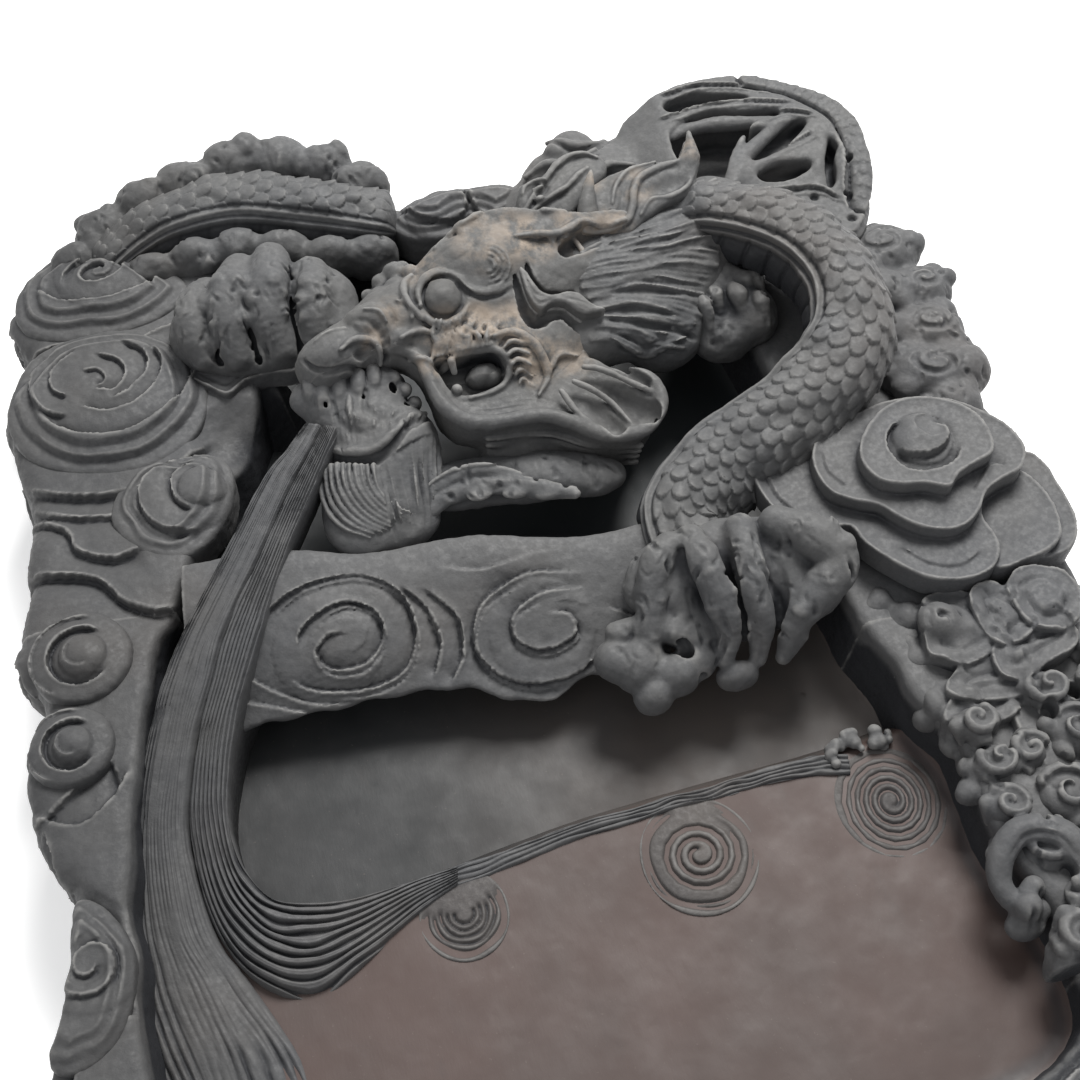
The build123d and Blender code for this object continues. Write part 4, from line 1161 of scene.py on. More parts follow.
def scaled_body(name, node, path, radii, rows, columns, scale, depth, ridge_angle, bare_ends=(0, 0),
                cord_share=1.0):
    """A body swept along a path: scales above, a cord along its inner edge and belly plates below that."""
    line = smooth_curve(path, parts=30)
    run = np.concatenate([[0], np.cumsum(np.sqrt((np.diff(line, axis=0) ** 2).sum(1)))])
    even = np.linspace(0, run[-1], rows)
    middle = np.stack([np.interp(even, run, line[:, i]) for i in range(3)], 1)
    forward = np.gradient(middle, axis=0)
    forward /= np.linalg.norm(forward, axis=1)[:, None]
    side = np.cross(forward, (0, 0, 1))
    side /= np.linalg.norm(side, axis=1)[:, None]
    up = np.cross(side, forward)
    w = np.linspace(-1, 1, columns, endpoint=False)
    angle = (math.pi * (0.62 * w + 0.38 * w ** 3))[None, :]
    radius = np.interp(even / run[-1], np.linspace(0, 1, len(radii)), radii)[:, None]
    along = even[:, None]
    rng = np.random.default_rng(21)
    rough = smooth_noise((rows, columns), (int(run[-1] / 7), 12), rng)
    askew = 0.9 * smooth_noise((rows, columns), (int(run[-1] / 9), 9), rng)
    scales = scale_heights(along + askew, angle * radius.mean() + 0.5 * askew, *scale)
    bare = step_up(angle, ridge_angle - 0.16, ridge_angle - 0.06)
    bare = np.maximum(bare, 1 - step_up(along, bare_ends[0], bare_ends[0] + 6))
    bare = np.maximum(bare, step_up(along, run[-1] - bare_ends[1] - 6, run[-1] - bare_ends[1] + 0.01))
    lift = depth * scales * (1 - bare) * (0.95 + 0.35 * rough)
    cord = np.exp(-((angle - ridge_angle) / 0.055) ** 2)
    beside = np.exp(-((angle - ridge_angle - 0.15) / 0.05) ** 2)
    beside = beside + np.exp(-((angle - ridge_angle + 0.13) / 0.05) ** 2)
    belly = step_up(angle, ridge_angle + 0.2, ridge_angle + 0.4)
    plates = np.exp(-(((along + 3 * angle) % 10.0 - 5.0) / 0.9) ** 2)
    lift = (lift + (1.1 * cord - 0.9 * beside) * cord_share - cord_share * belly * plates
            - 1.6 * belly + 0.6 * rough)
    ends = np.sqrt(np.clip(1 - (1 - np.clip(np.minimum(along, run[-1] - along) / 6.0, 0, 1)) ** 2, 0.02, 1))
    reach = (radius + lift - 0.9) * ends
    points = (middle[:, None, :] + up[:, None, :] * (np.cos(angle) * reach)[:, :, None]
              + side[:, None, :] * (np.sin(angle) * reach)[:, :, None])
    index = np.arange(rows * columns).reshape(rows, columns)
    right = np.roll(index, -1, 1)
    quads = np.stack([index[:-1], right[:-1], right[1:], index[1:]], 2).reshape(-1, 4)
    half = np.arange(columns // 2 - 1)
    cap = np.stack([half, half + 1, columns - 2 - half, columns - 1 - half], 1)
    quads = np.vstack([quads, index[0][cap][:, ::-1], index[-1][cap]])
    # painted shade: crease rises at the low edge of each scale, beside the cord and in the belly plates, and
    # hollow rises on the belly and underside, which the material darkens; wear and painted highlight: crease
    # falls on the scale tips and the cord, which pales them
    low_edge = np.clip(1 - scales / 0.30, 0, 1)
    crease = 0.5 + (1 - bare) * (0.30 * low_edge - 0.30 * np.clip(scales - 0.55, 0,
            1)) - 0.14 * cord + 0.2 * beside
    crease = crease + 0.16 * belly * plates
    hollow = 0.5 + 0.22 * belly + 0.10 * step_up(np.abs(angle), 1.2, 2.4) + np.zeros_like(along)
    return make_mesh(name, node, points.reshape(-1, 3), quads, hollow.ravel(), crease.ravel(), DRAGON,
                     "dragon_slate", 0.8)


# ================================================================ the head's own frame
HEAD_AT = np.array((-6.0, 79.0, 64.0))
HEAD_TURN, HEAD_LEAN = math.radians(16.0), math.radians(15.0)
HEAD_AXES = np.array((
    (math.cos(HEAD_TURN), math.sin(HEAD_TURN), 0.0),
    (-math.sin(HEAD_TURN) * math.cos(HEAD_LEAN), math.cos(HEAD_TURN) * math.cos(HEAD_LEAN),
     math.sin(HEAD_LEAN)),
    (math.sin(HEAD_TURN) * math.sin(HEAD_LEAN), -math.cos(HEAD_TURN) * math.sin(HEAD_LEAN),
     math.cos(HEAD_LEAN)),
))


def head_place(points):
    """From the head's frame (muzzle to nape, jaw to crown, outward) to the stone's."""
    return HEAD_AT + np.asarray(points, float) @ HEAD_AXES


HEAD_WEAR = [  # worn tan patches, in the head's frame: where, how wide, how soft, how strong
    ((14, 15, 14), 7, 8, 0.42), ((25, 10, 14), 4, 6, 0.75), ((-8, 15, 10), 3, 6, 0.45),
    ((-12, -7, 12), 5, 6, 0.5),
    ((-1, -7, 12), 3, 5, 0.8), ((8, -12, 12), 4, 6, 0.7), ((9, -24, 10), 4, 6, 0.75),
    ((38, 8, 13), 4, 6, 0.6),
    ((50, 5, 13), 3, 6, 0.5), ((-31, 1, 10), 2, 4, 0.5), ((-23, 6, 10), 2, 5, 0.45),
    ((88, 22, 12), 4, 5, 0.5),
    ((52, 23, 14), 2, 5, 0.6), ((64, 15, 13), 3, 6, 0.4), ((-19, -12, 9), 2, 4, 0.6),
    ((20, -27, 9), 3, 6, 0.5),
]
HEAD = slate("worn_slate", (0.094, 0.093, 0.091), wear_and_highlight=0.85,
             tan_spots=[(head_place(centre), *rest) for centre, *rest in HEAD_WEAR])
SKULL = [((-44, 3, 2), (10, 7, 8)), ((-34, 5, 2), (12, 8, 9)), ((-20, 6, 1), (14, 13, 12)),
         ((-4, 5, 0), (15, 17, 13)), ((12, 5, 0), (18, 20, 14)), ((30, 4, 0), (18, 17, 14)),
         ((44, 0, 0), (12, 14, 11)), ((8, -16, 0), (14, 13, 11)), ((22, -16, -1), (13, 14, 11)),
         ((-10, -8, 0), (13, 9, 10))]
MOUTH = [(-18, -11.8), (-11.2, -12.9), (-5.6, -13.8), (-0.5, -16.0), (0.6, -20.7), (-2.2, -24.3),
         (-7.4, -25.0), (-14.5, -23.8), (-17.2, -20.6), (-17.6, -16.0)]
LIP_RIM = [(-27.5, -2.5), (-22.6, -6.0), (-20.9, -11.0), (-21.4, -18.2), (-21.2, -25.5),
           (-17.8, -32.0), (-10.5, -36.0), (2.5, -39.6), (9.5, -45.0), (15.2, -51.4), (22.0, -55.4),
           (29.0, -56.0), (35.6, -52.2), (38.0, -46.5), (37.4, -42.0), (33.5, -38.0)]
JAW_PLAN = LIP_RIM + [(29, -33), (24, -27), (12, -24), (0, -20), (-14, -15), (-17, -8), (-22, -1), (-28, 1)]
CREST_PLAN = [(8, 14), (15, 12.8), (21.7, 11.4), (26, 9.6), (29.2, 8.6), (29.8, 5.2), (32.4, 7.2),
              (34.9, 5.4), (37.1, 7.4), (39.2, 6.2), (42.2, 8.0), (44.2, 6.2), (48.5, 4.0), (54, 3.6),
              (57, 7), (52.7, 9.5), (43, 12), (37, 14.6), (31, 17.6), (26, 20.4), (21.8, 22.6),
              (15, 23.8), (6, 23.4)]
EAR_PLAN = [(17.0, 3.5), (15.6, -3), (15.4, -8.6), (17.0, -11.6), (20.5, -11.0), (24.2, -12.4),
            (26.4, -16.2), (29.0, -18.4), (34.6, -19.2), (31.2, -15.6), (29.6, -11.2), (26.6, -9.4),
            (22.0, -8.8), (19.0, -5.6), (18.4, 1.5)]


BROW_LINE = [(-14.6, 4.4), (-13.0, 8.6), (-9.4, 11.4), (-5.2, 11.6), (-1.4, 8.4), (0.4, 4.0),
             (3.2, 0.8), (8.0, -0.6), (12.5, -0.4)]


def make_head():
    """Skull, muzzle and lower jaw are carved together, and part along the lip into two pieces."""
    clay = Clay((-62, -70, -26), (62, 32, 26), 0.5)
    for centre, radii in SKULL:
        clay.ball(centre, radii, blend=6)
    # the forehead swells over the eye; its lower edge is undercut
    clay.ball((12, 12, 9), (15, 11, 8), blend=3)
    clay.ball((2, 15, 8), (10, 7, 6.5), blend=3)
    crest = smooth_curve(CREST_PLAN, closed=True, parts=3)
    x, y = clay.plan()
    crest_top = 15.6 + 0.08 * (y - 12) - 0.005 * (y - 14) ** 2 - 0.0022 * (x - 30) ** 2
    clay.slab(crest, 8.0, crest_top.astype(np.float32), edge=1.4, blend=0.5)
    clay.tube([(32.5, 3.0, 12.5), (38, 4.0, 12.5), (44, 4.0, 12.5), (52, 0.8, 12)], [2.4, 3.4, 3.6, 2.4],
              blend=0.8, cut=True)
    clay.tube([(38.2, 7, 10.5), (38.6, 0.5, 10.5)], [0.9, 0.9], blend=0.6)
    clay.ridge([(20, 12.4), (26, 10.8), (31, 8.6), (36, 8.2), (42, 9.0), (48.5, 5.6), (54, 5.0)],
               [0.7, 1.0, 1.0], 0.2)
    clay.ridge([(-2, 19.6), (4, 21.8), (11, 23.0), (18, 23.4), (25, 21.0), (32, 16.5), (38, 14)],
               [0.8, 1.0, 0.8], 0.1)
    # muzzle: nose pad, nostril and the folds behind it
    clay.ball((-42.0, 3.0, 5.8), (10.6, 7.6, 7.8), blend=0.8)
    clay.ball((-47.0, 1.2, 3.0), (6.4, 6.4, 6.4), blend=1.5)
    clay.ball((-28.5, 7.4, 7.4), (8.2, 6.0, 6.6), blend=0.7)
    clay.ball((-19.8, 4.6, 8.6), (4.6, 4.6, 4.6), blend=0.6)
    clay.ball((-23.6, -1.4, 8.0), (4.6, 3.0, 4.4), blend=0.6)
    clay.ridge([(-33.6, 7.6), (-30.2, 4.8), (-28.2, 1.4), (-28.4, -2.2), (-30.6, -5.4)], [0.8, 1.3, 1.0], 0.5,
               cut=True)
    clay.ridge([(-23.6, 9.4), (-23.2, 5.4), (-24.4, 2.2), (-28.0, 0.6)], [0.6, 1.1, 0.8], 0.4, cut=True)
    clay.ridge([(-41.4, 0.3), (-37.3, 1.9), (-33.4, 1.7), (-30.9, -0.2), (-30.6, -3.0), (-32.2, -5.2),
                (-35.4, -5.6)],
               [0.7, 1.2, 1.3, 0.9], 0.5)
    clay.ball((-35.0, -1.9, 11.4), (3.4, 1.7, 4.0), blend=0.5, cut=True)
    clay.ridge([(-51.5, 4.0), (-50.0, 0.2), (-46.6, -2.6), (-41, -3.6), (-36, -3.9)], [0.6, 1.2, 1.0], -0.4,
               cut=True)
    clay.ridge([(-47, 6.4), (-42, 7.4), (-37, 6.6)], [0.5, 0.8, 0.5], 0.2)
    clay.ridge([(-30, 9.2), (-26.4, 7.0), (-25.6, 3.6)], [0.5, 0.9, 0.5], 0.3)
    clay.ridge([(-20, 8.4), (-17.4, 5.6), (-18.4, 1.8)], [0.5, 0.9, 0.5], 0.3)
    clay.ridge([(-24, -2.5), (-18, -2.0), (-13.5, -5)], [0.6, 1.1, 0.6], 0.1)
    for centre, radius in (((-21.5, 15.5, 3.5), 3.8), ((-18.6, 20.2, 2.5), 3.3),
                           ((-14.2, 20.6, 4), 3.9), ((-16.4, 15.8, 6), 3.4), ((-10.6, 18.0, 6), 3.0),
                           ((-23.6, 19.0, 1.5), 2.2), ((-11.0, 21.8, 3), 2.4)):
        clay.ball(centre, radius, blend=0.5)
    # eye, lids and brow
    clay.ball((-7.0, 4.2, 17.0), (7.6, 7.4, 6.2), blend=1.2, cut=True)
    clay.ball((-7.2, 4.4, 10.8), 5.9, blend=0.1)
    clay.ridge(arc((-7.2, 4.4), 6.3, 0, 360, count=20), [0.7], 0.2, cut=True)
    clay.tube(on_height(BROW_LINE, 13.0), [0.9, 1.4, 1.5, 1.3, 0.8], blend=0.6)
    clay.ridge([(-12.4, 6.4), (-9.0, 9.9), (-5.2, 10.0), (-2.2, 7.4), (-0.8, 3.4), (2.4, -0.6),
                (8.0, -2.2), (12.6, -1.8)],
               [0.5, 0.8, 0.9, 0.8, 0.4], 0.0, cut=True)
    clay.tube(on_height([(-14.8, 1.8), (-13.4, -1.8), (-9.6, -3.9), (-5.2, -3.4), (-1.2, -0.6)], 12.0),
              [0.9, 1.2, 1.2, 0.8], blend=0.4)
    clay.ridge([(-16.2, 1.0), (-14.2, -3.4), (-9.4, -5.8), (-4.4, -5.2), (0.4, -2.4)], [0.4, 0.7, 0.4], 0.2,
               cut=True)
    clay.ridge([(-11.6, 15.4), (-14.8, 13.6), (-17.2, 9.0), (-17.2, 4.4), (-15.4, 0.6)], [0.8, 1.2, 0.8], 0.3)
    clay.ridge([(-11.0, 13.0), (-13.8, 11.4), (-15.6, 8.0), (-15.4, 4.6)], [0.5, 0.9, 0.5], 0.3, cut=True)
    for radius in (1.8, 3.2, 4.7, 6.2):
        clay.ridge(arc((8.4, 6.6), radius, -110, 60), [0.3, 0.6, 0.3], 0.2)
    for points in ([(-8, 15), (-1, 17), (6, 16)], [(-2, 12.6), (4, 12.4), (10, 14.6)],
                   [(12, 17.5), (18, 18.4), (24, 16)]):
        clay.ridge(points, [0.3, 0.5, 0.3], 0.25, cut=True)
    # the lower lip, jaw and throat
    jaw = smooth_curve(JAW_PLAN, closed=True, parts=4)
    rim_far, _, _ = line_distance(x, y, smooth_curve(LIP_RIM))
    jaw_top = 6.0 + 2.0 * np.exp(-rim_far / 2.0) + 1.2 * np.exp(-rim_far / 9)
    clay.slab(jaw, -8.0, jaw_top.astype(np.float32), edge=1.4, blend=1.5)
    clay.tube(on_height([(p[0], p[1] + 0.4) for p in LIP_RIM], 7.4), [1.3, 2.0, 2.3, 2.2, 2.3, 2.4, 2.2, 1.4],
              blend=1.0)
    for centre, radii in (((-10, -26, -6), (10, 8, 7)), ((6, -33, -7), (16, 9, 8)),
                          ((22, -40, -8), (15, 11, 8)), ((0, -42, -12), (17, 8, 7)),
                          ((18, -50, -13), (17, 7, 7)), ((2, -38, -20), (16, 8, 9)),
                          ((24, -44, -20), (18, 9, 9))):
        clay.ball(centre, radii, blend=5)
    for k in range(4):
        drop = 1.2 + 1.5 * k
        lines = [(p[0] * 0.96, p[1] + drop + 1.9) for p in LIP_RIM[4:9]]
        clay.ridge(lines, [0.3, 0.5, 0.3], 0.2, cut=True)
    for run, radii in ((((20.0, -34.6, 10.0), (25.6, -42.0, 8.4), (31.0, -51.2, 8.0)), [1.2, 3.8, 4.4]),
                       (((14.6, -37.0, 10.0), (18.2, -43.5, 8.6), (20.4, -51.6, 8.2)), [1.0, 3.0, 3.2]),
                       (((27.5, -33.5, 9.5), (32, -38.5, 8.5), (35.0, -43.0, 8.5)), [1.4, 2.6, 2.0])):
        clay.tube(run, radii, blend=0.7, cut=True)
    for points in ([(20.6, -31.6, 9.6), (24.5, -34.0, 9.4), (29.5, -39.2, 8.8), (36.4, -47.2, 7.8)],
                   [(15.6, -34.6, 9.8), (19.0, -38.2, 9.2), (23.4, -44.6, 7.4), (25.4, -53.2, 7.2)],
                   [(11.0, -35.6, 9.4), (11.6, -40.0, 9.0), (12.8, -45.4, 8.6), (15.4, -51.6, 8.0)]):
        clay.tube(points, [0.9, 1.1, 1.1, 0.9], blend=0.7)
    for k, lift in enumerate((-1.5, -4.5, -7.5, -11)):
        clay.tube([(-12, -36 - k, lift), (4, -42 - 0.6 * k, lift), (14, -50 - 0.6 * k, lift),
                   (28, -57 - 0.4 * k, lift)],
                  [0.7, 1.1, 0.9], blend=0.8)
    # mouth: opening, tongue, and the wrinkled lip above it
    clay.slab(smooth_curve(MOUTH, closed=True, parts=4), 0.0, 30.0, edge=0.5, blend=0.6, cut=True)
    clay.ball((-5.0, -18.8, 1.4), (5.2, 3.6, 4.8), blend=0.4)
    clay.ball((-2.6, -20.6, 1.0), (3.8, 3.0, 4.8), blend=0.4)
    clay.ball((-15.4, -21.8, 6.4), (1.7, 1.7, 2.6), blend=0.2)
    clay.tube([(-13.2, -13.6, 8.5), (-13.4, -16.2, 6.5)], [1.5, 0.9], blend=0.3)
    clay.ridge([(-23.5, -7.6), (-19.8, -10.4), (-17.8, -12.2), (-11.2, -12.6), (-5.6, -13.5),
                (-0.2, -15.5), (1.8, -20.7), (-1.4, -25.4), (-7.4, -26.4), (-13, -25.6)],
                [0.8, 1.1, 1.1, 1.3, 1.1, 0.7], 0.2)
    rng = np.random.default_rng(4)
    for i in range(14):
        t = i / 13
        a, b = -17.6 + 18.5 * t, -10.4 - 4.2 * t
        reach = rng.uniform(5.5, 8.5) * (1 - 0.25 * t)
        bend = rng.uniform(-1.0, 1.0)
        run = [(a, b), (a + 0.30 * reach + bend, b + 0.35 * reach),
               (a + 0.35 * reach - bend * 0.6, b + 0.7 * reach),
               (a + 0.62 * reach, b + reach)]
        clay.ridge(run, [0.7, 1.0, 0.8, 0.4], 0.45)
        clay.ridge([(p[0] + 0.85, p[1] + 0.1) for p in run], [0.4, 0.55, 0.3], 0.5, cut=True)
    for k in range(5):
        run = [(2.0, -16.8 - 2.7 * k), (4.6 - 0.3 * k, -16.4 - 2.6 * k), (8.4 - 0.7 * k, -18.6 - 2.9 * k)]
        clay.ridge(run, [0.6, 1.0, 0.5], 0.4)
        clay.ridge([(p[0] + 0.3, p[1] - 1.35) for p in run], [0.6, 0.9, 0.4], 0.4, cut=True)
    clay.ridge([(1.0, -12.6), (6.0, -13.4), (9.8, -18.0), (11.4, -24.0), (10.6, -29.0), (5.5, -33.0)],
               [0.9, 1.5, 1.4, 0.8], 0.2)
    clay.ridge([(13.0, -26.5), (17, -24.5), (21.5, -26.5)], [0.8, 1.0, 0.6], 0.1)
    # two deep crescent cuts free the ear from the cheek
    clay.ridge([(19.7, 3.9), (18.9, -1.8), (20.6, -6.6), (25.0, -8.2), (28.5, -9.4), (30.8, -12.9),
                (32.0, -16.3), (35.2, -18.9)],
               [0.7, 1.7, 2.1, 1.5, 1.7, 1.7, 0.7], -0.9, cut=True)
    clay.ridge([(14.9, 2.4), (13.6, -4.7), (13.0, -9.5), (14.6, -13.4), (18.1, -13.0), (22.7, -14.1),
                (24.6, -17.6), (27.4, -20.6), (33.0, -19.8)], [0.6, 1.4, 2.3, 2.4, 1.7, 1.8, 1.6, 0.7], -0.9,
                cut=True)

    parting = [(-70, -2), (-30, -2.2), (-24.5, -4.0), (-20.2, -9.4), (-17, -16), (-4, -21), (4, -24),
               (11, -31), (14, -29.5), (24, -26.5), (40, -28), (70, -30)]
    far, side, _ = line_distance(x, y, parting)
    upper = (-far * side)[:, :, None]
    field = clay.field
    clay.field = np.maximum(field, upper)
    skin(clay, "head_carved", "head", HEAD, "worn_slate", head_place, rough=1.5)
    clay.field = np.maximum(field + 0.08, -upper - 1.2)
    skin(clay, "lower_jaw_carved", "lower_jaw", HEAD, "worn_slate", head_place)

    clay = Clay((8, -26, 2), (42, 10, 20), 0.4)
    ear = smooth_curve(EAR_PLAN, closed=True, parts=3)
    x, y = clay.plan()
    far, _, _ = line_distance(x, y, smooth_curve([(17, 2), (16.6, -8), (22, -10.5), (33, -18.0)]))
    clay.slab(ear, 4.0, (14.4 + 0.5 * np.exp(-far / 2.0) - 0.05 * np.abs(x - 18)).astype(np.float32),
              edge=1.4)
    for points in ([(17.4, 1), (17.0, -6), (20.0, -9.6)], [(16.2, -4), (16.6, -9.8), (21, -10.2)],
                   [(24, -11), (27.5, -13.5), (31.0, -17.2)], [(22, -10), (27, -11), (29.8, -14.2)]):
        clay.ridge(points, [0.3, 0.55, 0.3], 0.2, cut=True)
    skin(clay, "ear_carved", "ear", HEAD, "worn_slate", head_place)


def on_height(plan, height):
    """Points of a plan, raised to one height."""
    return [(p[0], p[1], height) for p in plan]


HORN_PLAN = [(37, 8), (41, 12), (45, 15.5), (48, 19), (53, 21.4), (60, 22.2), (67, 22.0), (76.5, 20.4),
             (80.2, 18.6), (84.7, 21.0), (88.2, 24.6), (89.4, 19), (85, 12.5), (79.5, 6.3), (69, 5.4),
             (61, 3.4), (55, 1.5), (50, 3.2), (44.8, 6.0)]
FAR_HORN_PLAN = [(26, 18), (30, 26), (34, 32.6), (40, 32.4), (46, 35.0), (52, 37.2), (58, 36.8),
                 (62.5, 33.6), (63, 29), (60, 25), (54, 22), (46, 18), (36, 15)]


def make_horns():
    """The near horn is a broad flame with a rolled edge; behind it lies the far one, a curled leaf."""
    clay = Clay((20, -2, -16), (94, 48, 24), 0.5)
    x, y = clay.plan()
    far_top = 8.0 - 0.006 * (x - 46) ** 2 - 0.16 * np.abs(y - 26)
    clay.slab(smooth_curve(FAR_HORN_PLAN, closed=True, parts=4), -3.0, far_top.astype(np.float32), edge=2.2,
              foot=3.0)
    clay.tube([(34, 22, -8), (42, 24, -4), (50, 27, 0)], [8.0, 7.0, 5.0], blend=3.0)
    for points, width in (([(30, 23), (36, 27), (41, 30), (47, 33.6), (53, 35.4), (58, 34.4),
                            (60.6, 31.8)],
                           1.2),
                          ([(28, 19.6), (33, 22.4), (40, 24.2), (46, 25.2), (51, 27.4), (55.5, 29.0)],
                           1.0),
                          ([(33, 29), (35, 31), (38, 31.4), (40.4, 29.8), (38.6, 28.2), (36, 28.6)],
                           0.9)):
        clay.ridge(points, [0.6 * width, width, 0.6 * width], 0.3)
        clay.ridge([(p[0] + 0.3, p[1] - 1.9) for p in points], [0.5, 0.9, 0.5], 0.3, cut=True)
    clay.ridge([(47, 30.0), (52, 31.6), (58, 31.0)], [0.4, 0.7, 0.4], 0.3, cut=True)
    clay.ball((36.4, 24.6, 7.8), (1.7, 1.2, 1.6), blend=0.3)
    top = 12.6 - 0.003 * (x - 62) ** 2 - 0.010 * (y - 11) ** 2 + 0.0004 * np.maximum(x - 74, 0) ** 3
    clay.slab(smooth_curve(HORN_PLAN, closed=True, parts=4), -4.0, top.astype(np.float32), edge=2.0)
    clay.ball((73, 10.5, 16.5), (11, 4.2, 5.6), blend=1.5, cut=True)
    clay.ball((57, 17.5, 16.0), (9, 2.6, 4.0), blend=1.5, cut=True)
    clay.ridge([(42, 7.6), (46, 5.8), (50, 4.8), (55, 5.0), (58.8, 8.3), (61.8, 12.8), (66.5, 16.6),
                (75, 17.8), (82, 17.6), (87.2, 22.5)],
               [0.8, 1.2, 1.3, 1.2, 0.7], 0.3)
    clay.ridge([(49, 8.0), (54, 8.4), (57.2, 11.6), (60.2, 15.6), (66, 19.4)], [0.6, 1.2, 1.0, 0.5], 0.5,
               cut=True)
    clay.ridge([(54, 12), (58, 17), (65, 20.8), (74, 20.2)], [0.5, 0.8, 0.5], 0.3)
    clay.ridge([(60, 5.2), (66, 8.6), (72, 7.4), (79, 8.6), (85, 14)], [0.5, 0.9, 0.5], 0.2)
    clay.ball((51.0, 9.4, 13.0), (2.2, 0.8, 2.4), blend=0.3, cut=True)
    clay.tube([(44.5, 10, 11.6), (46.8, 15, 13.0), (49.4, 19, 13.8), (52.6, 23.6, 14.4)],
              [3.0, 2.6, 2.0, 0.8], blend=1.4)
    clay.tube([(80, 13, 9.0), (85.6, 17.5, 11.0), (88.4, 24.6, 13.0)], [3.4, 2.8, 0.7], blend=1.2)
    skin(clay, "horns_carved", "horns", HEAD, "worn_slate", head_place)


def make_mane():
    """Fine locks that sweep back from the cheek and the nape, combed into one broad mass."""
    clay = Clay((14, -46, -16), (102, 24, 20), 0.45)
    for centre, radii in (((42, -5, 0), (18, 16, 12)), ((60, -3, 0), (18, 16, 11)),
                          ((76, -1, -1), (14, 13, 9.5)), ((44, -20, -2), (15, 11, 10)),
                          ((58, -20, -4), (13, 12, 8)), ((28, -21, -1), (11, 8, 10)),
                          ((54, -30, -8), (10, 7, 7)), ((88, 3, -3), (14, 13, 10)),
                          ((72, -12, -5), (13, 10, 9))):
        clay.ball(centre, radii, blend=7)
    starts = smooth_curve([(47, 3.2), (43, 1.2), (38, 0.5), (34, -3), (33, -9), (34, -15), (33, -20),
                           (27, -24)])
    ends = smooth_curve([(92, 11), (92, 3), (87, -5), (80, -12), (72, -18.5), (65, -25), (59, -31),
                         (54, -36)])
    rng = np.random.default_rng(8)

    def lock(t, jitter):
        a = starts[min(int(t * len(starts)), len(starts) - 1)]
        b = ends[min(int(t * len(ends)), len(ends) - 1)] + rng.uniform(-1, 1, 2) * jitter
        across = np.array((-(b - a)[1], (b - a)[0])) / np.hypot(*(b - a))
        s = np.linspace(0, 1, 6)
        wave = 1.5 * np.sin(s * 5.0 + t * 9) * s + 0.5 * np.sin(s * 11 + t * 23 + jitter)
        return a + (b - a) * s[:, None] + across * wave[:, None]

    for i in range(15):
        clay.ridge(lock((i + 0.5) / 15, 1.5), [1.2, 1.7, 1.5, 0.9], -0.5)
    for i in range(14):
        clay.ridge(lock(i / 14, 1.0), [0.5, 0.9, 1.0, 0.8], 0.2, cut=True)
    for i in range(46):
        line = lock(i / 46, 2.0)
        first = rng.integers(0, 2)
        clay.ridge(line[first:], [0.28, 0.5, 0.42, 0.25], 0.22, cut=True)
    for points in ([(36, -21), (46, -26), (56, -30), (64, -36)], [(34, -18), (46, -21.5), (58, -27)],
                   [(40, -14), (52, -17.5), (62, -21)]):
        clay.ridge(points, [0.6, 1.5, 1.2, 0.6], 0.0, cut=True)
    skin(clay, "mane_carved", "mane", DRAGON, "dragon_slate", head_place)


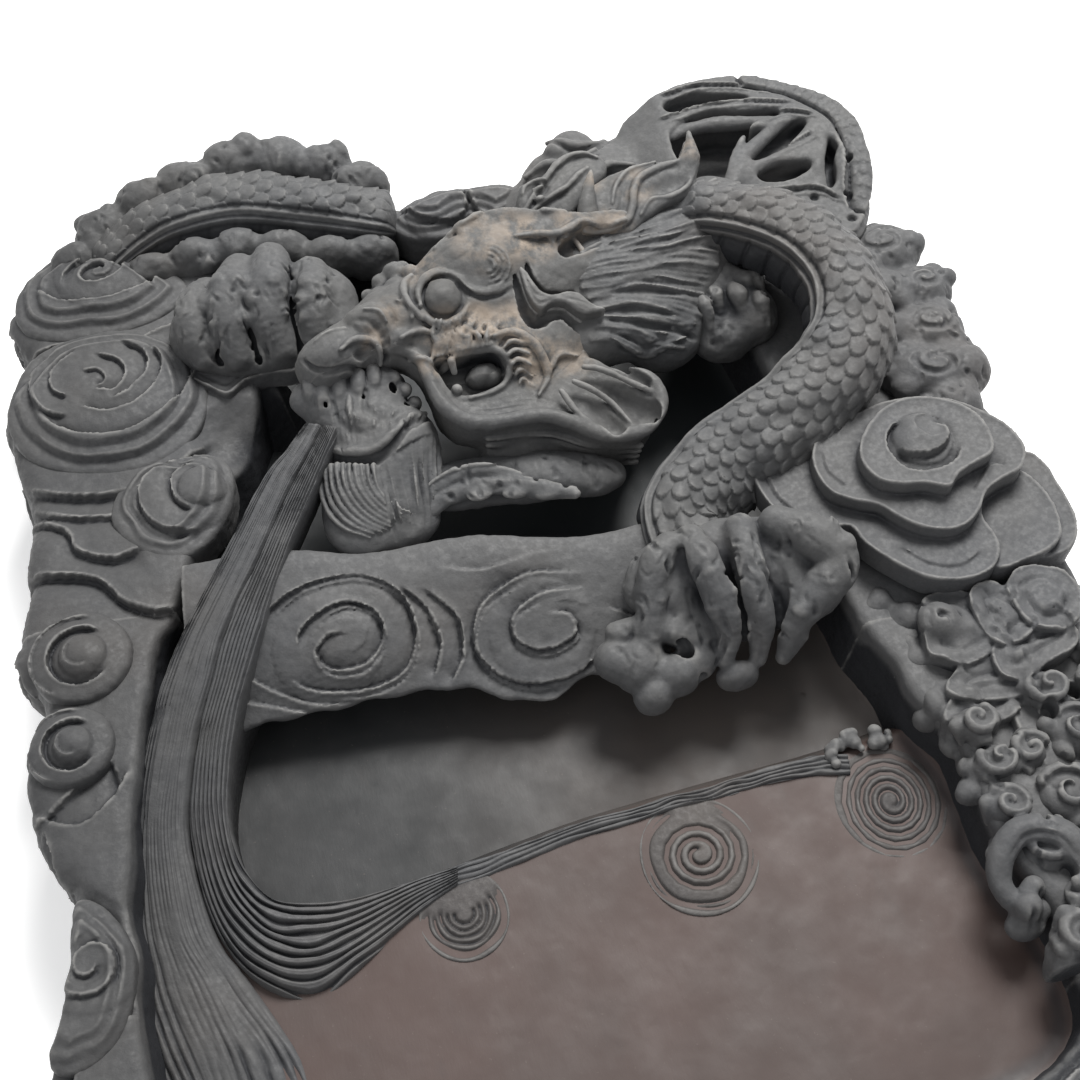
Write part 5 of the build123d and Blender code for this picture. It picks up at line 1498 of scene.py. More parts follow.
def make_beard():
    """The drips under the nose, the rounded lobe of the beard and its combed strands."""
    clay = Clay((-72, 4, 34), (-8, 78, 74), 0.45)
    for centre, radii in (((-44, 56, 57), (13, 12, 8)), ((-36, 47, 54), (14, 12, 9.5)),
                          ((-46, 38, 51), (12, 12, 8)), ((-34, 38, 49), (12, 15, 9)),
                          ((-48, 27, 47), (11, 13, 7)), ((-52, 62, 61), (10, 7, 6)),
                          ((-38, 64, 58), (10, 8, 8)), ((-38, 26, 45), (12, 10, 7))):
        clay.ball(centre, radii, blend=5)
    rng = np.random.default_rng(12)
    # drips of water under the nose
    for start, end, width in (((-51.5, 0.0), (-54.0, -8.5), 2.3), ((-48.4, -2.4), (-52.6, -11.5), 2.4),
                              ((-43.6, -3.2), (-47.6, -12.6), 2.5),
                              ((-38.4, -4.2), (-42.2, -14.0), 2.5),
                              ((-33.6, -4.6), (-36.6, -13.0), 2.2)):
        a, b = head_place([(*start, 3.5), (*end, -0.5)])
        middle = (a + b) / 2 + (0, 0, 1.6)
        clay.tube([a, middle, b], [width * 0.9, width, width * 0.65], blend=0.3)
    for spot, radius in (((-29.0, -8.4, 1), 2.7), ((-27.4, -12.6, 0), 2.3), ((-31, -15, -1), 2.6),
                         ((-26, -17, -2), 2.2), ((-34.6, -19, -2), 2.8), ((-33.5, -14.5, -1), 2.4)):
        clay.ball(head_place([spot])[0], radius, blend=0.4)
    for spot in ((-45.5, -9.5, 1.5), (-40.3, -11, 1.5), (-35.4, -11.5, 0.5), (-30.8, -11.4, 0.5),
                 (-29.6, -18.4, -1), (-50.4, -8, 2)):
        clay.ball(head_place([spot])[0], (1.3, 2.2, 2.4), blend=0.3, cut=True)
    # the lobe, with the deep crevice beneath it
    crevice = [(-57, 47), (-54, 43.5), (-49, 39.5), (-43, 37.4), (-37.5, 39), (-33, 43), (-28, 47), (-23, 50)]
    clay.ridge(crevice, [0.9, 1.9, 2.1, 1.8, 1.4, 0.8], -0.2, cut=True)
    clay.ridge([(p[0] + 0.4, p[1] + 3.0) for p in crevice], [0.8, 1.5, 1.6, 1.3, 0.8], -0.3)
    clay.ridge([(-50, 56), (-49, 50), (-45, 46), (-40, 45.5)], [0.8, 1.4, 0.8], 0.1, cut=True)
    clay.ridge([(-40, 58), (-41, 52), (-36, 48), (-30, 50)], [0.7, 1.2, 0.7], 0.1, cut=True)
    clay.ridge([(-45, 57), (-45.5, 51), (-41, 47.5)], [0.7, 1.2, 0.7], 0.3)
    # combed strands that fall and sweep to the right
    strands = 10
    for i in range(strands):
        t = i / (strands - 1)
        run = [(-57.0 + 15.0 * t, 40.5 - 4.5 * t), (-57.4 + 15.6 * t, 33 - 3.5 * t),
               (-55.8 + 17 * t, 26 - 1.0 * t),
               (-52.5 + 17.5 * t, 20.5 + 2.0 * t), (-46 + 14 * t, 16.5 + 5.0 * t)]
        clay.ridge(run, [0.9, 1.2, 1.2, 0.9, 0.4], 0.6)
        clay.ridge([(p[0] + 0.85, p[1] - 0.3) for p in run], [0.6, 0.85, 0.85, 0.7, 0.3], 0.3, cut=True)
    # fine hair over the lobe and down its smooth side
    for i in range(30):
        t = i / 29
        top = np.array((-50 + 27 * t, 53 - 1.0 * t))
        foot = np.array((-50 + 22 * t, 42 + 3 * t))
        clay.ridge([top, (top + foot) / 2 + rng.uniform(-0.6, 0.6, 2), foot], [0.3, 0.5, 0.3], 0.15, cut=True)
        top = np.array((-40 + 20 * t, 35.5 + 10 * t))
        foot = np.array((-39 + 14 * t, 16 + 6 * t)) + rng.uniform(-0.8, 0.8, 2)
        clay.ridge([top, (top + foot) / 2 + rng.uniform(-0.9, 0.9, 2), foot],
                   [0.35, rng.uniform(0.45, 0.75), 0.35], 0.15, cut=True)
    skin(clay, "beard_carved", "beard", DRAGON, "dragon_slate")

    clay = Clay((-46, 4, 36), (34, 46, 64), 0.45)
    clay.tube([(-34, 22, 46.5), (-32, 25.5, 48.5), (-25, 30, 51), (-16, 31.5, 53), (-7, 30, 53.5),
               (-2, 28, 53)],
              [1.6, 2.4, 2.4, 2.0, 0.9], blend=0.5, flat=((0.2, 0.6, -0.77), 1.5))
    for centre, radii in (((-16, 33, 46), (18, 8, 6)), ((4, 31, 46), (18, 8, 6)), ((20, 28, 45), (10, 6, 5))):
        clay.ball(centre, radii, blend=3.0)
    clay.tube([(-30, 24, 48), (-22, 27.5, 50), (-12, 27.5, 51.5), (-3, 25.0, 52), (4, 22.0, 52),
               (12, 19.0, 52)],
              [2.6, 2.8, 3.0, 3.0, 2.8, 1.8], blend=1.0, flat=((0.2, 0.6, -0.77), 1.5))
    clay.ridge([(-38, 19.5), (-33, 26.5), (-26, 31.2), (-17, 32.8), (-8, 31.4)], [0.5, 0.7, 0.7, 0.4], 0.4)
    clay.ridge([(-27, 27.6), (-17, 29.6), (-7, 27.8), (2, 24.6)], [0.4, 0.9, 0.5], 0.3, cut=True)
    for spot in ((-14, 25.0, 51.5), (-4, 23.0, 52), (5, 20.6, 52)):
        clay.ball(spot, (4.0, 2.2, 1.6), blend=1.0)
    rock_cuts(clay, (-26, 22), (24, 38), 40, 71)
    # painted shade: the whole whisker, under the jaw, is darkened a little
    skin(clay, "whisker_carved", "whisker", DRAGON, "dragon_slate",
         stain=lambda points: np.full(len(points), 0.08))


# ================================================================ claws and tail
SPLINTERS = 15  # on each toe of a claw


def claw_toe(clay, points, radii, seed):
    """A thick rocky toe: a core with craggy splinters of stone laid along it."""
    clay.tube(points, np.array(radii) * 0.88, blend=2.0)
    rng = np.random.default_rng(seed)
    line = smooth_curve(points, parts=6)
    for _ in range(SPLINTERS):
        first = int(rng.uniform(0, len(line) - 5))
        last = min(first + int(rng.uniform(4, 8)), len(line) - 1)
        size = np.interp((first + last) / 2 / len(line), np.linspace(0, 1, len(radii)), radii)
        shift = np.array((rng.uniform(-0.62, 0.62), rng.uniform(-0.25, 0.25), rng.uniform(0.05, 0.55))) * size
        middle = (line[first] + line[last]) / 2 + rng.uniform(-0.12, 0.12, 3) * size
        run = [line[first] + shift * 0.8, middle + shift, line[last] + shift * 0.7]
        clay.tube(run, [0.30 * size, rng.uniform(0.36, 0.56) * size, 0.24 * size], blend=0.5, parts=3)


def make_rear_lobes():
    """Rough cloud lobes along the outer side of the rear body, and the rock face below its inner side."""
    clay = Clay((-130, 122, 28), (-8, 192, 74), 0.55)
    rng = np.random.default_rng(61)
    for cx, cy, top, radius in ((-122, 150, 50, 9), (-112, 160, 53, 10), (-98, 167, 56, 10),
                                (-84, 171, 58, 10), (-68, 175, 60, 11), (-52, 173, 60, 11),
                                (-38, 168, 59, 10), (-26, 160, 56, 9)):
        clay.ball((cx, cy, top - 9), (radius, radius * 0.8, 10), blend=2.0)
        for _ in range(4):
            spot = (cx + rng.uniform(-7, 7), cy + rng.uniform(-4, 4), top - rng.uniform(2, 9))
            clay.ball(spot, rng.uniform(3.0, 5.6, 3), blend=0.9)
    for cx, cy, top in ((-98, 141, 50), (-84, 142, 52), (-70, 142, 53), (-56, 139, 53), (-42, 134, 51),
                        (-28, 134, 49)):
        clay.ball((cx, cy, top - 8), (9, 6, 9), blend=3.0)
        for _ in range(3):
            spot = (cx + rng.uniform(-7, 7), cy + rng.uniform(-3, 2), top - rng.uniform(3, 11))
            clay.ball(spot, rng.uniform(2.6, 5.0, 3), blend=1.0)
    rock_cuts(clay, (-126, 134), (-18, 182), 150, 63)
    skin(clay, "rear_body_lobes", "dragon_rear_body", DRAGON, "dragon_slate", rough=1.6)

    # rock inside the loop of the neck, behind the mane, darkened all over as painted shade
    clay = Clay((30, 52, 26), (98, 112, 72), 0.55)
    for centre, radii in (((74, 84, 52), (13, 11, 9)), ((64, 78, 50), (12, 9, 9)),
                          ((82, 74, 50), (8, 10, 9)), ((56, 86, 50), (12, 9, 9)),
                          ((74, 94, 54), (13, 9, 9)), ((72, 70, 47), (10, 8, 8))):
        clay.ball(centre, radii, blend=3.0)
    for _ in range(34):
        a, b = rng.uniform(52, 84), rng.uniform(70, 96)
        clay.tube([(a, b + 4, 58), (a + 1, b, 59), (a + 1.5, b - 5, 54)], [1.2, rng.uniform(1.8, 3.0), 1.2],
                  blend=0.8)
    rock_cuts(clay, (46, 66), (88, 98), 70, 65)
    # painted shade: the whole rock is darkened
    skin(clay, "mane_rock", "mane", DRAGON, "dragon_slate", rough=1.4,
         stain=lambda points: np.full(len(points), 0.14))


def make_claws():
    """The front claw grips the bridge's end; the hind claw hangs over the bank in four rocky fingers."""
    clay = Clay((4, -52, 26), (88, 10, 70), 0.45)
    for centre, radii in (((46, -9, 50), (24, 10, 9)), ((64, -14, 50), (16, 11, 9)),
                          ((30, -14, 47), (12, 10, 8)), ((50, -24, 43), (14, 9, 7)),
                          ((66, -24, 47), (12, 9, 8)), ((36, -24, 42), (12, 8, 7))):
        clay.ball(centre, radii, blend=4)
    claw_toe(clay, [(32, -8, 57), (27, -12, 57), (24, -19, 52), (22, -27, 46), (19, -33, 42)],
             [4.9, 4.9, 4.4, 2.8], 1)
    claw_toe(clay, [(38, -8, 58), (39, -16, 59), (41, -24, 55), (43, -31, 48), (41, -37, 41)],
             [5.2, 5.4, 4.8, 2.8], 2)
    claw_toe(clay, [(52, -8, 59), (51, -17, 59), (51, -25, 55), (52, -32, 48), (50, -38, 40)],
             [5.0, 5.2, 4.6, 2.6], 3)
    claw_toe(clay, [(62, -9, 60), (70, -15, 60), (75, -22, 57), (70, -28, 54), (62, -33, 49), (57, -39, 40)],
             [5.8, 7.4, 7.0, 5.4, 2.8], 4)
    claw_toe(clay, [(14, -24, 44), (24, -25, 45), (33, -29, 44), (41, -34, 40)], [4.2, 4.6, 4.4, 3.0], 5)
    for centre, radii in (((18, -32, 39), (8, 8, 8)), ((27, -37, 38), (7, 6, 7)),
                          ((20, -41, 36), (5.5, 5, 6)), ((33, -35, 39), (6, 5, 6)),
                          ((44, -40, 36), (6, 4, 5)), ((12, -30, 40), (6, 6, 6))):
        clay.ball(centre, radii, blend=1.6)
    for points in ([(34, -12, 60), (33, -20, 56), (33, -27, 50)],
                   [(46, -12, 61), (46, -22, 57), (47, -32, 47)],
                   [(58, -14, 61), (59, -24, 56), (57, -33, 46)],
                   [(30, -28, 46), (31, -34, 43), (34, -40, 38)],
                   [(22, -27, 46), (21, -32, 43), (24, -38, 40)]):
        clay.tube(points, [1.4, 2.2, 1.8], blend=0.8, cut=True)
    rock_cuts(clay, (10, -36), (80, -4), 110, 31)
    skin(clay, "front_claw_carved", "front_claw", DRAGON, "dragon_slate")

    clay = Clay((-102, 68, 36), (-32, 132, 74), 0.45)
    for centre, radii in (((-66, 112, 51), (25, 13, 11)), ((-82, 104, 50), (13, 12, 9)),
                          ((-50, 106, 53), (14, 13, 11)), ((-66, 99, 49), (24, 13, 9)),
                          ((-46, 96, 50), (10, 9, 9))):
        clay.ball(centre, radii, blend=5)
    claw_toe(clay, [(-82, 114, 57), (-86, 106, 59), (-87, 99, 57), (-85, 93, 52)], [6.0, 6.4, 6.0, 4.6], 6)
    claw_toe(clay, [(-70, 117, 61), (-74, 107, 63), (-76, 98, 60), (-75, 90, 53)], [6.6, 7.2, 6.4, 4.6], 7)
    claw_toe(clay, [(-60, 118, 62), (-62, 107, 64), (-64, 98, 60), (-62, 90, 53)], [7.0, 7.0, 6.6, 4.8], 8)
    claw_toe(clay, [(-49, 112, 60), (-49, 103, 61), (-50, 96, 58), (-50, 89, 52)], [6.6, 6.8, 6.2, 4.6], 9)
    for points in ([(-79, 112, 62), (-80.5, 101, 59), (-80, 91, 52)],
                   [(-67, 112, 65), (-69.5, 101, 61), (-69, 89, 52)],
                   [(-55.5, 112, 64), (-56, 101, 60), (-56, 89, 52)]):
        clay.tube(points, [0.8, 1.6, 1.8], blend=0.8, cut=True)
    rock_cuts(clay, (-94, 84), (-42, 122), 90, 33)
    skin(clay, "hind_claw_carved", "hind_claw", DRAGON, "dragon_slate")


FAN_PLAN = [(50, 138), (54, 150), (64, 159), (78, 165), (93, 168), (106, 166), (118, 160), (129, 152),
            (136, 143), (137, 130), (135, 116), (129, 100), (121, 91), (111, 96), (100, 104),
            (90, 108), (82, 114), (74, 122), (62, 130)]


FAN_GAPS = [  # depth, then the outline of a gap between the flames
    (7, [(76, 157), (84, 161), (96, 159), (104, 156), (103, 153.5), (93, 154), (84, 153), (78, 152)]),
    (18, [(77, 146), (83, 149.5), (92, 151), (100, 149), (111, 148), (112, 145.5), (103, 142),
          (96, 136), (90, 128), (84, 118), (77, 121), (74, 133), (74, 142)]),
    (9, [(100, 139), (107, 139), (118, 142), (120, 139), (112, 131), (104, 126), (97, 126), (96, 131)]),
    (10, [(97, 120), (103, 124), (113, 122.5), (115, 119.5), (107, 116.5), (99, 117)]),
    (10, [(125, 131), (127, 127), (124, 122), (122, 114), (118.5, 111.5), (119.5, 119), (122, 125)]),
]
FAN_BAND = [(108, 163), (118, 157.5), (126, 150.5), (131.5, 142), (133, 131), (132, 118), (128, 104)]


def make_tail():
    """The tail: a thick fan of flames pointing left with deep gaps between, and a scaled band outside."""
    clay = Clay((8, 86, 40), (142, 174, 80), 0.55)
    x, y = clay.plan()
    relief = Relief((8, 86), (142, 174), 0.55, 65.0)
    rx, ry = relief.x, relief.y
    relief.h += (2.0 * np.exp(-((rx - 96) / 26) ** 2 - ((ry - 150) / 20) ** 2) - 9.0 * (1 - step_up(rx, 50,
            76))).astype(np.float32)
    relief.h -= (5.0 * (1 - step_up(ry, 100, 124))).astype(np.float32)
    band = smooth_curve(FAN_BAND)
    d, side, place = line_distance(rx, ry, band)
    length = np.sqrt((np.diff(band, axis=0) ** 2).sum(1)).sum()
    scales = scale_heights(place * length, d * side, 3.6, 3.0)
    on_band = 1 - step_up(d, 3.6, 4.2)
    relief.h += (on_band * (0.9 * scales - 0.2)).astype(np.float32)
    relief.h -= (1.5 * np.exp(-((d - 4.4) / 0.7) ** 2)).astype(np.float32)
    for points, depth, width in (([(70, 150), (80, 151.5), (92, 153), (106, 152), (120, 148)], 1.2, 2.4),
                                 ([(74, 161), (88, 164), (102, 161), (112, 156)], 1.4, 2.4),
                                 ([(104, 143.5), (114, 146), (124, 142)], 1.3, 2.4),
                                 ([(122, 100), (124, 112), (127, 121), (129, 134)], 1.3, 2.6),
                                 ([(92, 112), (102, 113), (114, 112), (122, 106)], 1.5, 2.4),
                                 ([(98, 107), (108, 107), (116, 102)], 1.3, 2.2),
                                 ([(104, 128), (114, 131), (120, 134)], 1.0, 2.0)):
        relief.ledge(points, depth, width, 0.5)
        relief.ledge([(p[0] + 1, p[1] - 2.6) for p in points], depth * 0.5, 1.6, 0.2)
    relief.h += 0.5 * smooth_noise(relief.h.shape, (20, 12), np.random.default_rng(2)).astype(np.float32)
    clay.slab(smooth_curve(FAN_PLAN, closed=True), 42.5, relief.at(x, y), edge=2.6, foot=5.0)
    rim = [*FAN_PLAN, FAN_PLAN[0]]
    for height, radius in ((58.5, 1.5), (52.5, 1.8), (47.5, 1.4)):
        waves = [(x, y, height + 1.3 * math.sin(2.3 * i)) for i, (x, y) in enumerate(rim)]
        clay.tube(waves, [radius, radius], blend=0.9, cut=True)
    for depth, outline in FAN_GAPS:
        clay.slab(smooth_curve(outline, closed=True, parts=4), 66 - depth, 90, edge=0.5, foot=2.5, blend=1.8,
                  cut=True)
    for points, radii in (([(108, 143.6), (98, 145.4), (88, 146.6), (80, 145.8), (75.4, 143.6)],
                           [2.2, 2.6, 2.2, 1.0]),
                          ([(113, 142), (104, 136), (96, 129), (90, 120), (84, 114)],
                           [1.8, 2.4, 2.8, 2.6]),
                          ([(116, 128), (106, 126), (98, 123), (91, 119)], [1.6, 2.2, 2.0, 1.4])):
        clay.tube(on_height(points, 63.0), radii, blend=1.4)
    for spot in ((128, 121), (124, 108), (122, 98), (113, 109), (104, 119.5)):
        clay.ball((*spot, relief.at(np.array(spot[0]), np.array(spot[1])) + 0.3), (1.7, 1.5, 2.2), blend=0.6,
                  cut=True)
    # cloud knob and waves at its left foot
    for centre, radii in (((42, 146, 50), (17, 11, 10)), ((54, 140, 52), (12, 12, 10)),
                          ((34, 140, 48), (12, 9, 8)), ((44, 154, 54), (8, 7, 7)),
                          ((24, 140, 46), (9, 8, 6)), ((60, 126, 48), (14, 10, 9)),
                          ((76, 112, 50), (10, 8, 9))):
        clay.ball(centre, radii, blend=4)
    clay.ball((38, 150, 58), (4.2, 4.2, 4.2), blend=1.5)
    for points in ([(20, 134), (28, 138), (36, 137), (44, 140)],
                   [(26, 144), (34, 145), (40, 142), (50, 146)],
                   [(36, 156), (42, 150), (50, 150), (56, 154)], [(46, 134), (52, 137), (60, 136)],
                   [(52, 126), (60, 130), (68, 126)], [(66, 116), (74, 119), (82, 114)]):
        clay.ridge(points, [0.9, 1.6, 0.9], 0.4)
        clay.ridge([(p[0], p[1] - 2.8) for p in points], [0.6, 1.2, 0.6], 0.3, cut=True)
    skin(clay, "tail_fan_carved", "tail_fan", DRAGON, "dragon_slate")


# ================================================================ water
def ribbon(near, far, count, drop, profile, parts=14):
    """A sheet of water between two rails. profile gives its carved surface, drop how far down it is solid."""
    a, b = smooth_curve(near, parts=parts), smooth_curve(far, parts=parts)
    rows = len(a)
    f = np.linspace(0, 1, count)[None, :]
    u = np.linspace(0, 1, rows)[:, None]
    lift, crease, hollow = profile(u, f)
    top = a[:, None, :] * (1 - f[:, :, None]) + b[:, None, :] * f[:, :, None]
    level = np.minimum(a[:, 2], b[:, 2])[:, None]
    bottom = top.copy()
    bottom[:, :, 2] = drop(top[:, :, 1], level)
    top[:, :, 2] += lift
    points = np.concatenate([top, bottom[:, ::-1]], axis=1)
    columns = 2 * count
    index = np.arange(rows * columns).reshape(rows, columns)
    right = np.roll(index, -1, 1)
    quads = np.stack([index[:-1], right[:-1], right[1:], index[1:]], 2).reshape(-1, 4)
    half = np.arange(count - 1)
    cap = np.stack([half, half + 1, columns - 2 - half, columns - 1 - half], 1)
    quads = np.vstack([quads, index[0][cap][:, ::-1], index[-1][cap]])
    # painted shade: the underside gets a raised hollow value, which the material darkens
    under = np.full((rows, count), 0.5)
    return (points.reshape(-1, 3), quads, np.hstack([hollow, under + 0.2]).ravel(),
            np.hstack([crease, under]).ravel())


def furrows(phase, sharp):
    """1 in the middle of each furrow, falling to 0 on the ridges between."""
    return np.exp(-((phase - np.round(phase)) / sharp) ** 2)


SPOUT_LEFT = [(-59, 52, 64), (-66, 45, 62), (-73, 39, 60), (-87, 21, 54), (-102, 1, 48),
              (-109, -11, 44.5), (-114, -22, 41), (-119, -36, 37.5), (-122, -48, 35), (-124, -61, 33),
              (-125, -73, 31.5), (-124.5, -85, 30.6), (-124, -95, 30), (-122, -106, 29.4),
              (-119, -117, 28), (-115, -127, 25)]
SPOUT_SPLIT = [(-54, 50, 63.8), (-60, 42, 61.7), (-67, 33, 58.9), (-77, 18, 54), (-90, -1, 48.3),
               (-96, -14, 44.5), (-101, -25, 41), (-105, -39, 37.5), (-107, -51, 35), (-106, -66, 33)]
SPOUT_RIGHT = [(-50, 48, 63.6), (-55, 40, 61.4), (-62, 29, 58), (-70, 17, 54), (-80, -2, 48.7),
               (-86, -14, 44.9), (-91, -25, 41.8), (-95, -38, 38.4), (-96.5, -46, 36.6),
               (-96.5, -54, 35), (-94.5, -63, 33.2), (-91, -69, 32), (-86, -72.5, 30.8),
               (-79, -74.5, 30), (-70, -75.2, 29.6), (-60, -74.8, 29.2), (-51, -74, 28.8),
               (-41, -73, 28.6)]
BUNDLE_FOOT = [(-103, -79, 31.5), (-97, -90, 30.6), (-89, -97, 30), (-80, -98.5, 29.6),
               (-70, -94, 29.3), (-61, -88, 29.1), (-52, -83, 28.8), (-42, -78.5, 28.6)]
SHEET_FOOT = [(-103.5, -79, 31.2), (-98, -90, 30), (-92, -102, 29), (-86, -114, 28), (-82, -124, 26.4),
              (-80, -132, 24.5)]
CREST_NEAR = [(-43, -73, 28.4), (-28, -71.5, 28.4), (-8, -68.5, 28.4), (9, -67.5, 28.4),
              (19, -66.5, 28.4), (31, -66, 28.4), (44, -64.5, 28.4), (58, -64, 28.6), (68, -65.5, 29)]
CREST_FAR = [(-45, -79, 28.2), (-29, -76.5, 28), (-9, -73, 28), (7, -71.5, 28), (18, -70.5, 28),
             (33, -70, 28), (42, -69, 28), (57, -69.5, 28.2), (67, -71.5, 28.6)]


def make_spout():
    """Water from the muzzle: a bundle of strands that turns along the bed, and a finer sheet that runs on."""
    def solid(y, level):
        over_pool = step_up(-y, -12.0, 14.0)
        return level - 11.0 + (17.0 - (level - 11.0)) * over_pool

    def bundle(u, f):
        rng = np.random.default_rng(17)
        shape = (len(u), f.shape[1])
        phase = 9 * f + 0.32 * smooth_noise(shape, (16, 6), rng) - 0.5
        spacing = 0.55 + 1.7 * np.exp(-((u - 0.70) / 0.14) ** 2)
        valley, fine = furrows(phase, 0.20), furrows(3 * phase + 0.4, 0.22)
        lift = -valley * (0.45 + 0.75 * spacing) - 0.16 * fine + 0.8 * smooth_noise(shape, (12, 4),
                rng) * spacing
        lift = lift - 2.4 * np.abs(2 * f - 1) ** 9 + 0.9 * (1 - (2 * f - 1) ** 2) * spacing
        # painted shade: crease rises in the furrows, which the material darkens
        crease = 0.45 + (0.10 + 0.14 * np.minimum(spacing - 0.5,
                1)) * valley + 0.04 * fine + 0.06 * smooth_noise(shape, (30, 9), rng)
        return lift, crease, 0.5 + 0.06 * valley

    def sheet(u, f):
        rng = np.random.default_rng(23)
        shape = (len(u), f.shape[1])
        wander = 0.5 * smooth_noise(shape, (12, 5), rng)
        fine = furrows(17 * f + wander, 0.20) * np.clip(0.6 + smooth_noise(shape, (20, 12), rng), 0, 1)
        strands = furrows(15 * f + 0.5 * wander, 0.24) * step_up(f, 0.66, 0.76)
        fan = furrows(11 * f - 1.5 * u + wander, 0.22) * step_up(u, 0.80, 0.86) * (1 - step_up(f, 0.45, 0.62))
        folds = smooth_noise(shape, (5, 5), rng)
        lift = -0.28 * fine - 0.75 * strands - 0.85 * fan + 0.9 * folds * step_up(u, 0.05,
                0.3) - 2.6 * np.abs(2 * f - 1) ** 9
        # painted shade: crease rises in the furrows, which the material darkens
        crease = 0.46 + 0.11 * fine + 0.20 * np.maximum(strands, fan) + 0.05 * smooth_noise(shape, (60, 24),
                rng)
        return lift, crease, np.full_like(lift, 0.5)

    def crest(u, f):
        rng = np.random.default_rng(29)
        shape = (len(u), f.shape[1])
        valley = furrows(4 * f + 0.5 * smooth_noise(shape, (14, 3), rng), 0.20)
        lift = -0.55 * valley - 0.9 * np.abs(2 * f - 1) ** 6 + 0.5 * smooth_noise(shape, (26, 4), rng)
        # painted shade: crease rises in the furrows, which the material darkens
        return lift, 0.45 + 0.24 * valley, np.full_like(lift, 0.5)

    parts = ribbon(SPOUT_RIGHT, SPOUT_SPLIT + BUNDLE_FOOT, 118, solid, bundle)
    make_mesh("spout_bundle", "water_spout", *parts, CARVED, "carved_slate", 0.6)
    parts = ribbon(SPOUT_SPLIT + SHEET_FOOT, SPOUT_LEFT, 110, solid, sheet)
    make_mesh("spout_sheet", "water_spout", *parts, CARVED, "carved_slate", 0.8)
    parts = ribbon(CREST_NEAR, CREST_FAR, 40, lambda y, level: 23.0 + 0 * y, crest)
    make_mesh("wave_crest_line", "wave_crest", *parts, CARVED, "carved_slate", 0.6)

    clay = Clay((54, -80, 24), (90, -54, 36), 0.45)
    rng = np.random.default_rng(19)
    for _ in range(34):
        t = rng.uniform(0, 1)
        spot = (63 + 18 * t, -66 + 3.5 * math.sin(t * 3) + rng.uniform(-3, 3), 27.5 + rng.uniform(0, 1.6))
        clay.ball(spot, rng.uniform(0.9, 2.2), blend=0.5)
    skin(clay, "wave_crest_froth", "wave_crest", CARVED, "carved_slate")


RIGHT_PLATES = [  # the layered cloud ledges behind the foam: top, then the outline
    (50.5, [(92, -50), (95, -54), (100, -57), (106, -56), (112, -53), (114, -47), (112, -40),
            (106, -34), (96, -36)]),
    (52.5, [(109, -52), (114, -55), (120, -53), (124, -48), (122, -40), (116, -35), (108, -38)]),
    (53.5, [(120, -50), (127, -54), (134, -52), (138, -44), (135, -36), (126, -33), (119, -38)]),
    (51.5, [(108, -62), (114, -65), (121, -62), (128, -60), (133, -56), (130, -50), (118, -50), (109, -54)]),
    (49.0, [(93, -62), (97, -66), (104, -68), (113, -68), (118, -64), (112, -57), (100, -56)]),
    (47.5, [(90, -70), (96, -75), (103, -74), (110, -72), (114, -67), (106, -63), (95, -64)]),
]
RIGHT_SCROLLS = [  # middle, radius, start and hand of each foam scroll
    ((108, -83), 5.4, 0.5, 1), ((122, -80), 7.4, 2.0, -1), ((133, -70), 8.0, 0.6, 1),
    ((113, -96), 8.6, 2.2, -1), ((128, -94), 7.4, 1.0, 1),
    ((138, -86), 7.4, 3.0, -1), ((103, -108), 7.8, 1.2, 1), ((121, -110), 8.2, 0.2, -1),
    ((136, -105), 7.6, 2.6, 1), ((110, -123), 8.0, 2.4, -1),
    ((127, -124), 7.6, 0.8, 1), ((97, -96), 5.4, 1.6, -1), ((99, -84), 5.2, 2.6, 1),
    ((100, -132), 6.0, 1.6, 1), ((139, -57), 7.0, 2.0, 1),
    ((97, -73), 5.0, 0.8, -1), ((119, -68), 6.0, 2.8, 1)]


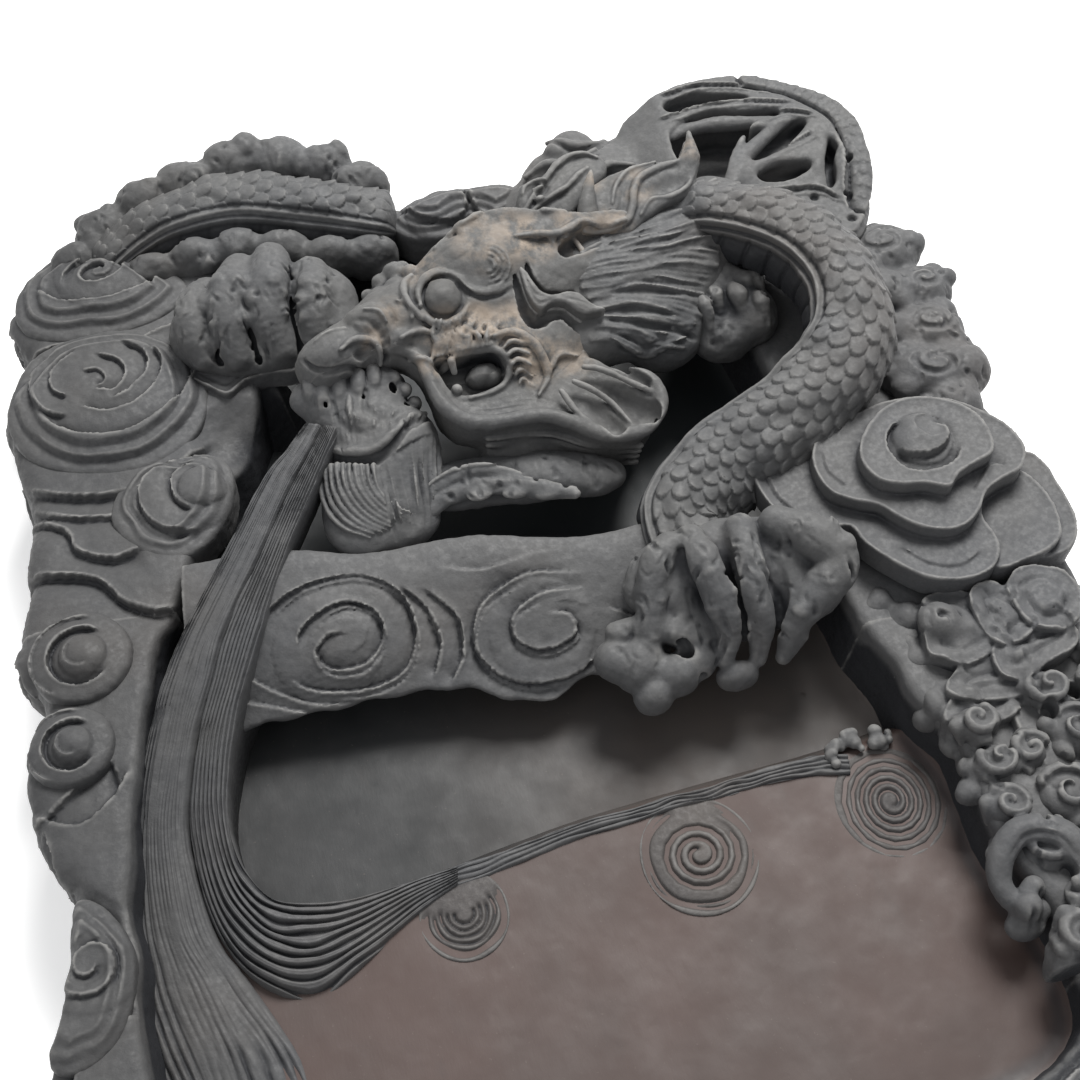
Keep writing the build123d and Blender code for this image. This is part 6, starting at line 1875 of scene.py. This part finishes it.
def make_right_curls():
    """The right bank: layered cloud ledges, then foam scrolls of many sizes crowded up to the well."""
    clay = Clay((82, -138, 28), (149, -26, 60), 0.5)
    x, y = clay.plan()
    rng = np.random.default_rng(41)
    for top, outline in RIGHT_PLATES:
        outline = smooth_curve(outline, closed=True, parts=4)
        d = np.minimum(inside_distance(x, y, outline), 0)
        surface = top - 1.6 + 1.5 * np.exp(d / 1.0) + 2.6 * (1 - np.exp(d / 9)) + 0.9 * smooth_noise(x.shape,
                (20, 32), rng)
        surface = surface - 0.7 * np.exp(-((d + 4.5) / 0.8) ** 2)
        clay.slab(outline, top - 10, surface.astype(np.float32), edge=0.7, blend=0.5)
    clay.ball((98, -43, 50), (5.6, 5.2, 4.2), blend=2.0)
    clay.ball((98, -43, 54.2), (1.3, 1.3, 2.0), blend=0.4, cut=True)
    # rough rock along the rim of the well
    for cx, cy, size in ((88, -30, 5), (90, -36, 6), (89, -42, 5), (91, -48, 6), (90, -54, 5),
                         (93, -60, 5), (91, -66, 5), (93, -72, 4.4), (94, -80, 4.6), (93, -88, 5),
                         (95, -102, 5), (93, -124, 6), (97, -134, 7), (105, -134, 7), (116, -133, 7),
                         (130, -134, 7)):
        for _ in range(3):
            spot = (cx + rng.uniform(-2, 3), cy + rng.uniform(-3, 3), 42.0 + rng.uniform(-4, 2.5))
            clay.ball(spot, size * rng.uniform(0.5, 0.95, 3), blend=1.2)
    for (cx, cy), radius, start, hand in RIGHT_SCROLLS:
        top = 48.0 + rng.uniform(0, 3.5)
        lean = rng.uniform(-0.25, 0.25)
        clay.ball((cx, cy, top - 5), (radius * 0.95, radius * rng.uniform(0.8, 0.95), 5.6), blend=0.8)
        line = spiral_points((cx, cy), radius * 0.86, 1.25, start, hand, 0.88, 0.14, lean)
        clay.ridge(line, [1.9, 1.7, 1.1, 0.7], 0.6, smooth=False)
        clay.ridge(spiral_points((cx, cy), radius * 0.60, 1.1, start, hand, 0.88, 0.14, lean),
                   [1.0, 1.2, 0.9, 0.6], 0.5, cut=True, smooth=False)
        for _ in range(3):
            a = rng.uniform(0, 6.3)
            far = radius * 0.95
            run = [(cx + far * math.cos(a + b), cy + far * math.sin(a + b),
                    top - 3.5 - 6 * abs(b)) for b in (-0.7, 0, 0.7)]
            clay.tube(run, [1.2, rng.uniform(1.8, 2.6), 1.0], blend=0.8)
    # the hook that hangs over the edge of the well
    clay.tube([(108, -120, 42), (108, -112, 47), (104, -106, 49), (96, -104, 48.5), (90, -108, 46),
               (88, -114, 43), (91, -119, 41.5), (95.5, -116.5, 43)],
               [5.0, 4.4, 3.8, 3.6, 3.4, 3.0, 2.8, 2.8], blend=0.8)
    clay.ridge([(106, -114), (103, -108.5), (96, -106.5), (91, -110)], [0.5, 0.9, 0.5], 0.3, cut=True)
    # dark gaps between the scrolls
    for cx, cy in ((110, -74), (117, -74), (105, -100), (120, -101), (112, -110), (131, -101),
                   (117, -118), (104, -90), (130, -82), (115, -88), (129, -115), (104, -116),
                   (126, -70), (101, -78)):
        clay.ball((cx, cy, 49), (1.7, 2.4, 6.5), blend=0.5, cut=True)
    rock_cuts(clay, (90, -134), (146, -34), 150, 47)
    skin(clay, "right_wave_curls_carved", "right_wave_curls", CARVED, "carved_slate")

    clay = Clay((104, 22, 34), (151, 106, 66), 0.5)
    rng = np.random.default_rng(43)
    for cx, cy, radius, top in ((130, 90, 13, 57), (137, 73, 11, 55), (125, 74, 10, 56),
                                (134, 57, 12, 55), (121, 58, 9, 55), (138, 42, 11, 53),
                                (126, 42, 11, 54), (132, 30, 10, 51)):
        clay.ball((cx, cy, top - 8), (radius, radius * 0.85, 9.0), blend=2.5)
        for _ in range(4):
            a = rng.uniform(0, 6.3)
            spot = (cx + radius * 0.75 * math.cos(a), cy + radius * 0.65 * math.sin(a),
                    top - rng.uniform(4, 8))
            clay.ball(spot, rng.uniform(3.0, 5.4, 3), blend=0.8)
    for centre, radius, start, hand in (((130, 90), 9.0, 1.0, 1), ((138, 73), 6.0, 2.0, -1),
                                        ((134, 57), 8.0, 0.4, -1), ((130, 41), 7.5, 2.4, 1)):
        clay.ridge(spiral_points(centre, radius, 1.4, start, hand, 0.7), [1.0, 1.3, 1.1, 0.6], 0.3, cut=True,
                   smooth=False)
    rock_cuts(clay, (112, 30), (146, 98), 90, 51)
    skin(clay, "right_rear_knobs_carved", "right_rear_knobs", CARVED, "carved_slate")


scaled_body("neck_scaled", "neck",
            [(52, 108, 60), (76, 101, 64), (96, 84, 66), (103, 60, 67), (96, 40, 63), (76, 27, 55.5),
             (55, 19.5, 49), (40, 8, 45), (38, -8, 42)],
            [12, 13.6, 14.2, 14.6, 14.6, 14.6, 14.4, 14.4, 13.5], 560, 220, (4.7, 5.2), 1.7, 0.72, (16, 0))
scaled_body("rear_body_scaled", "dragon_rear_body",
            [(-116, 144, 40), (-104, 152, 42), (-90, 157, 44), (-68, 158, 45), (-44, 151, 44),
             (-18, 143, 41)],
            [9, 12.6, 14.2, 14.4, 14.2, 12.5], 340, 190, (4.7, 5.2), 1.6, 0.62, cord_share=0.4)
make_head()
make_horns()
make_mane()
make_beard()
make_claws()
make_rear_lobes()
make_tail()
make_spout()
make_right_curls()
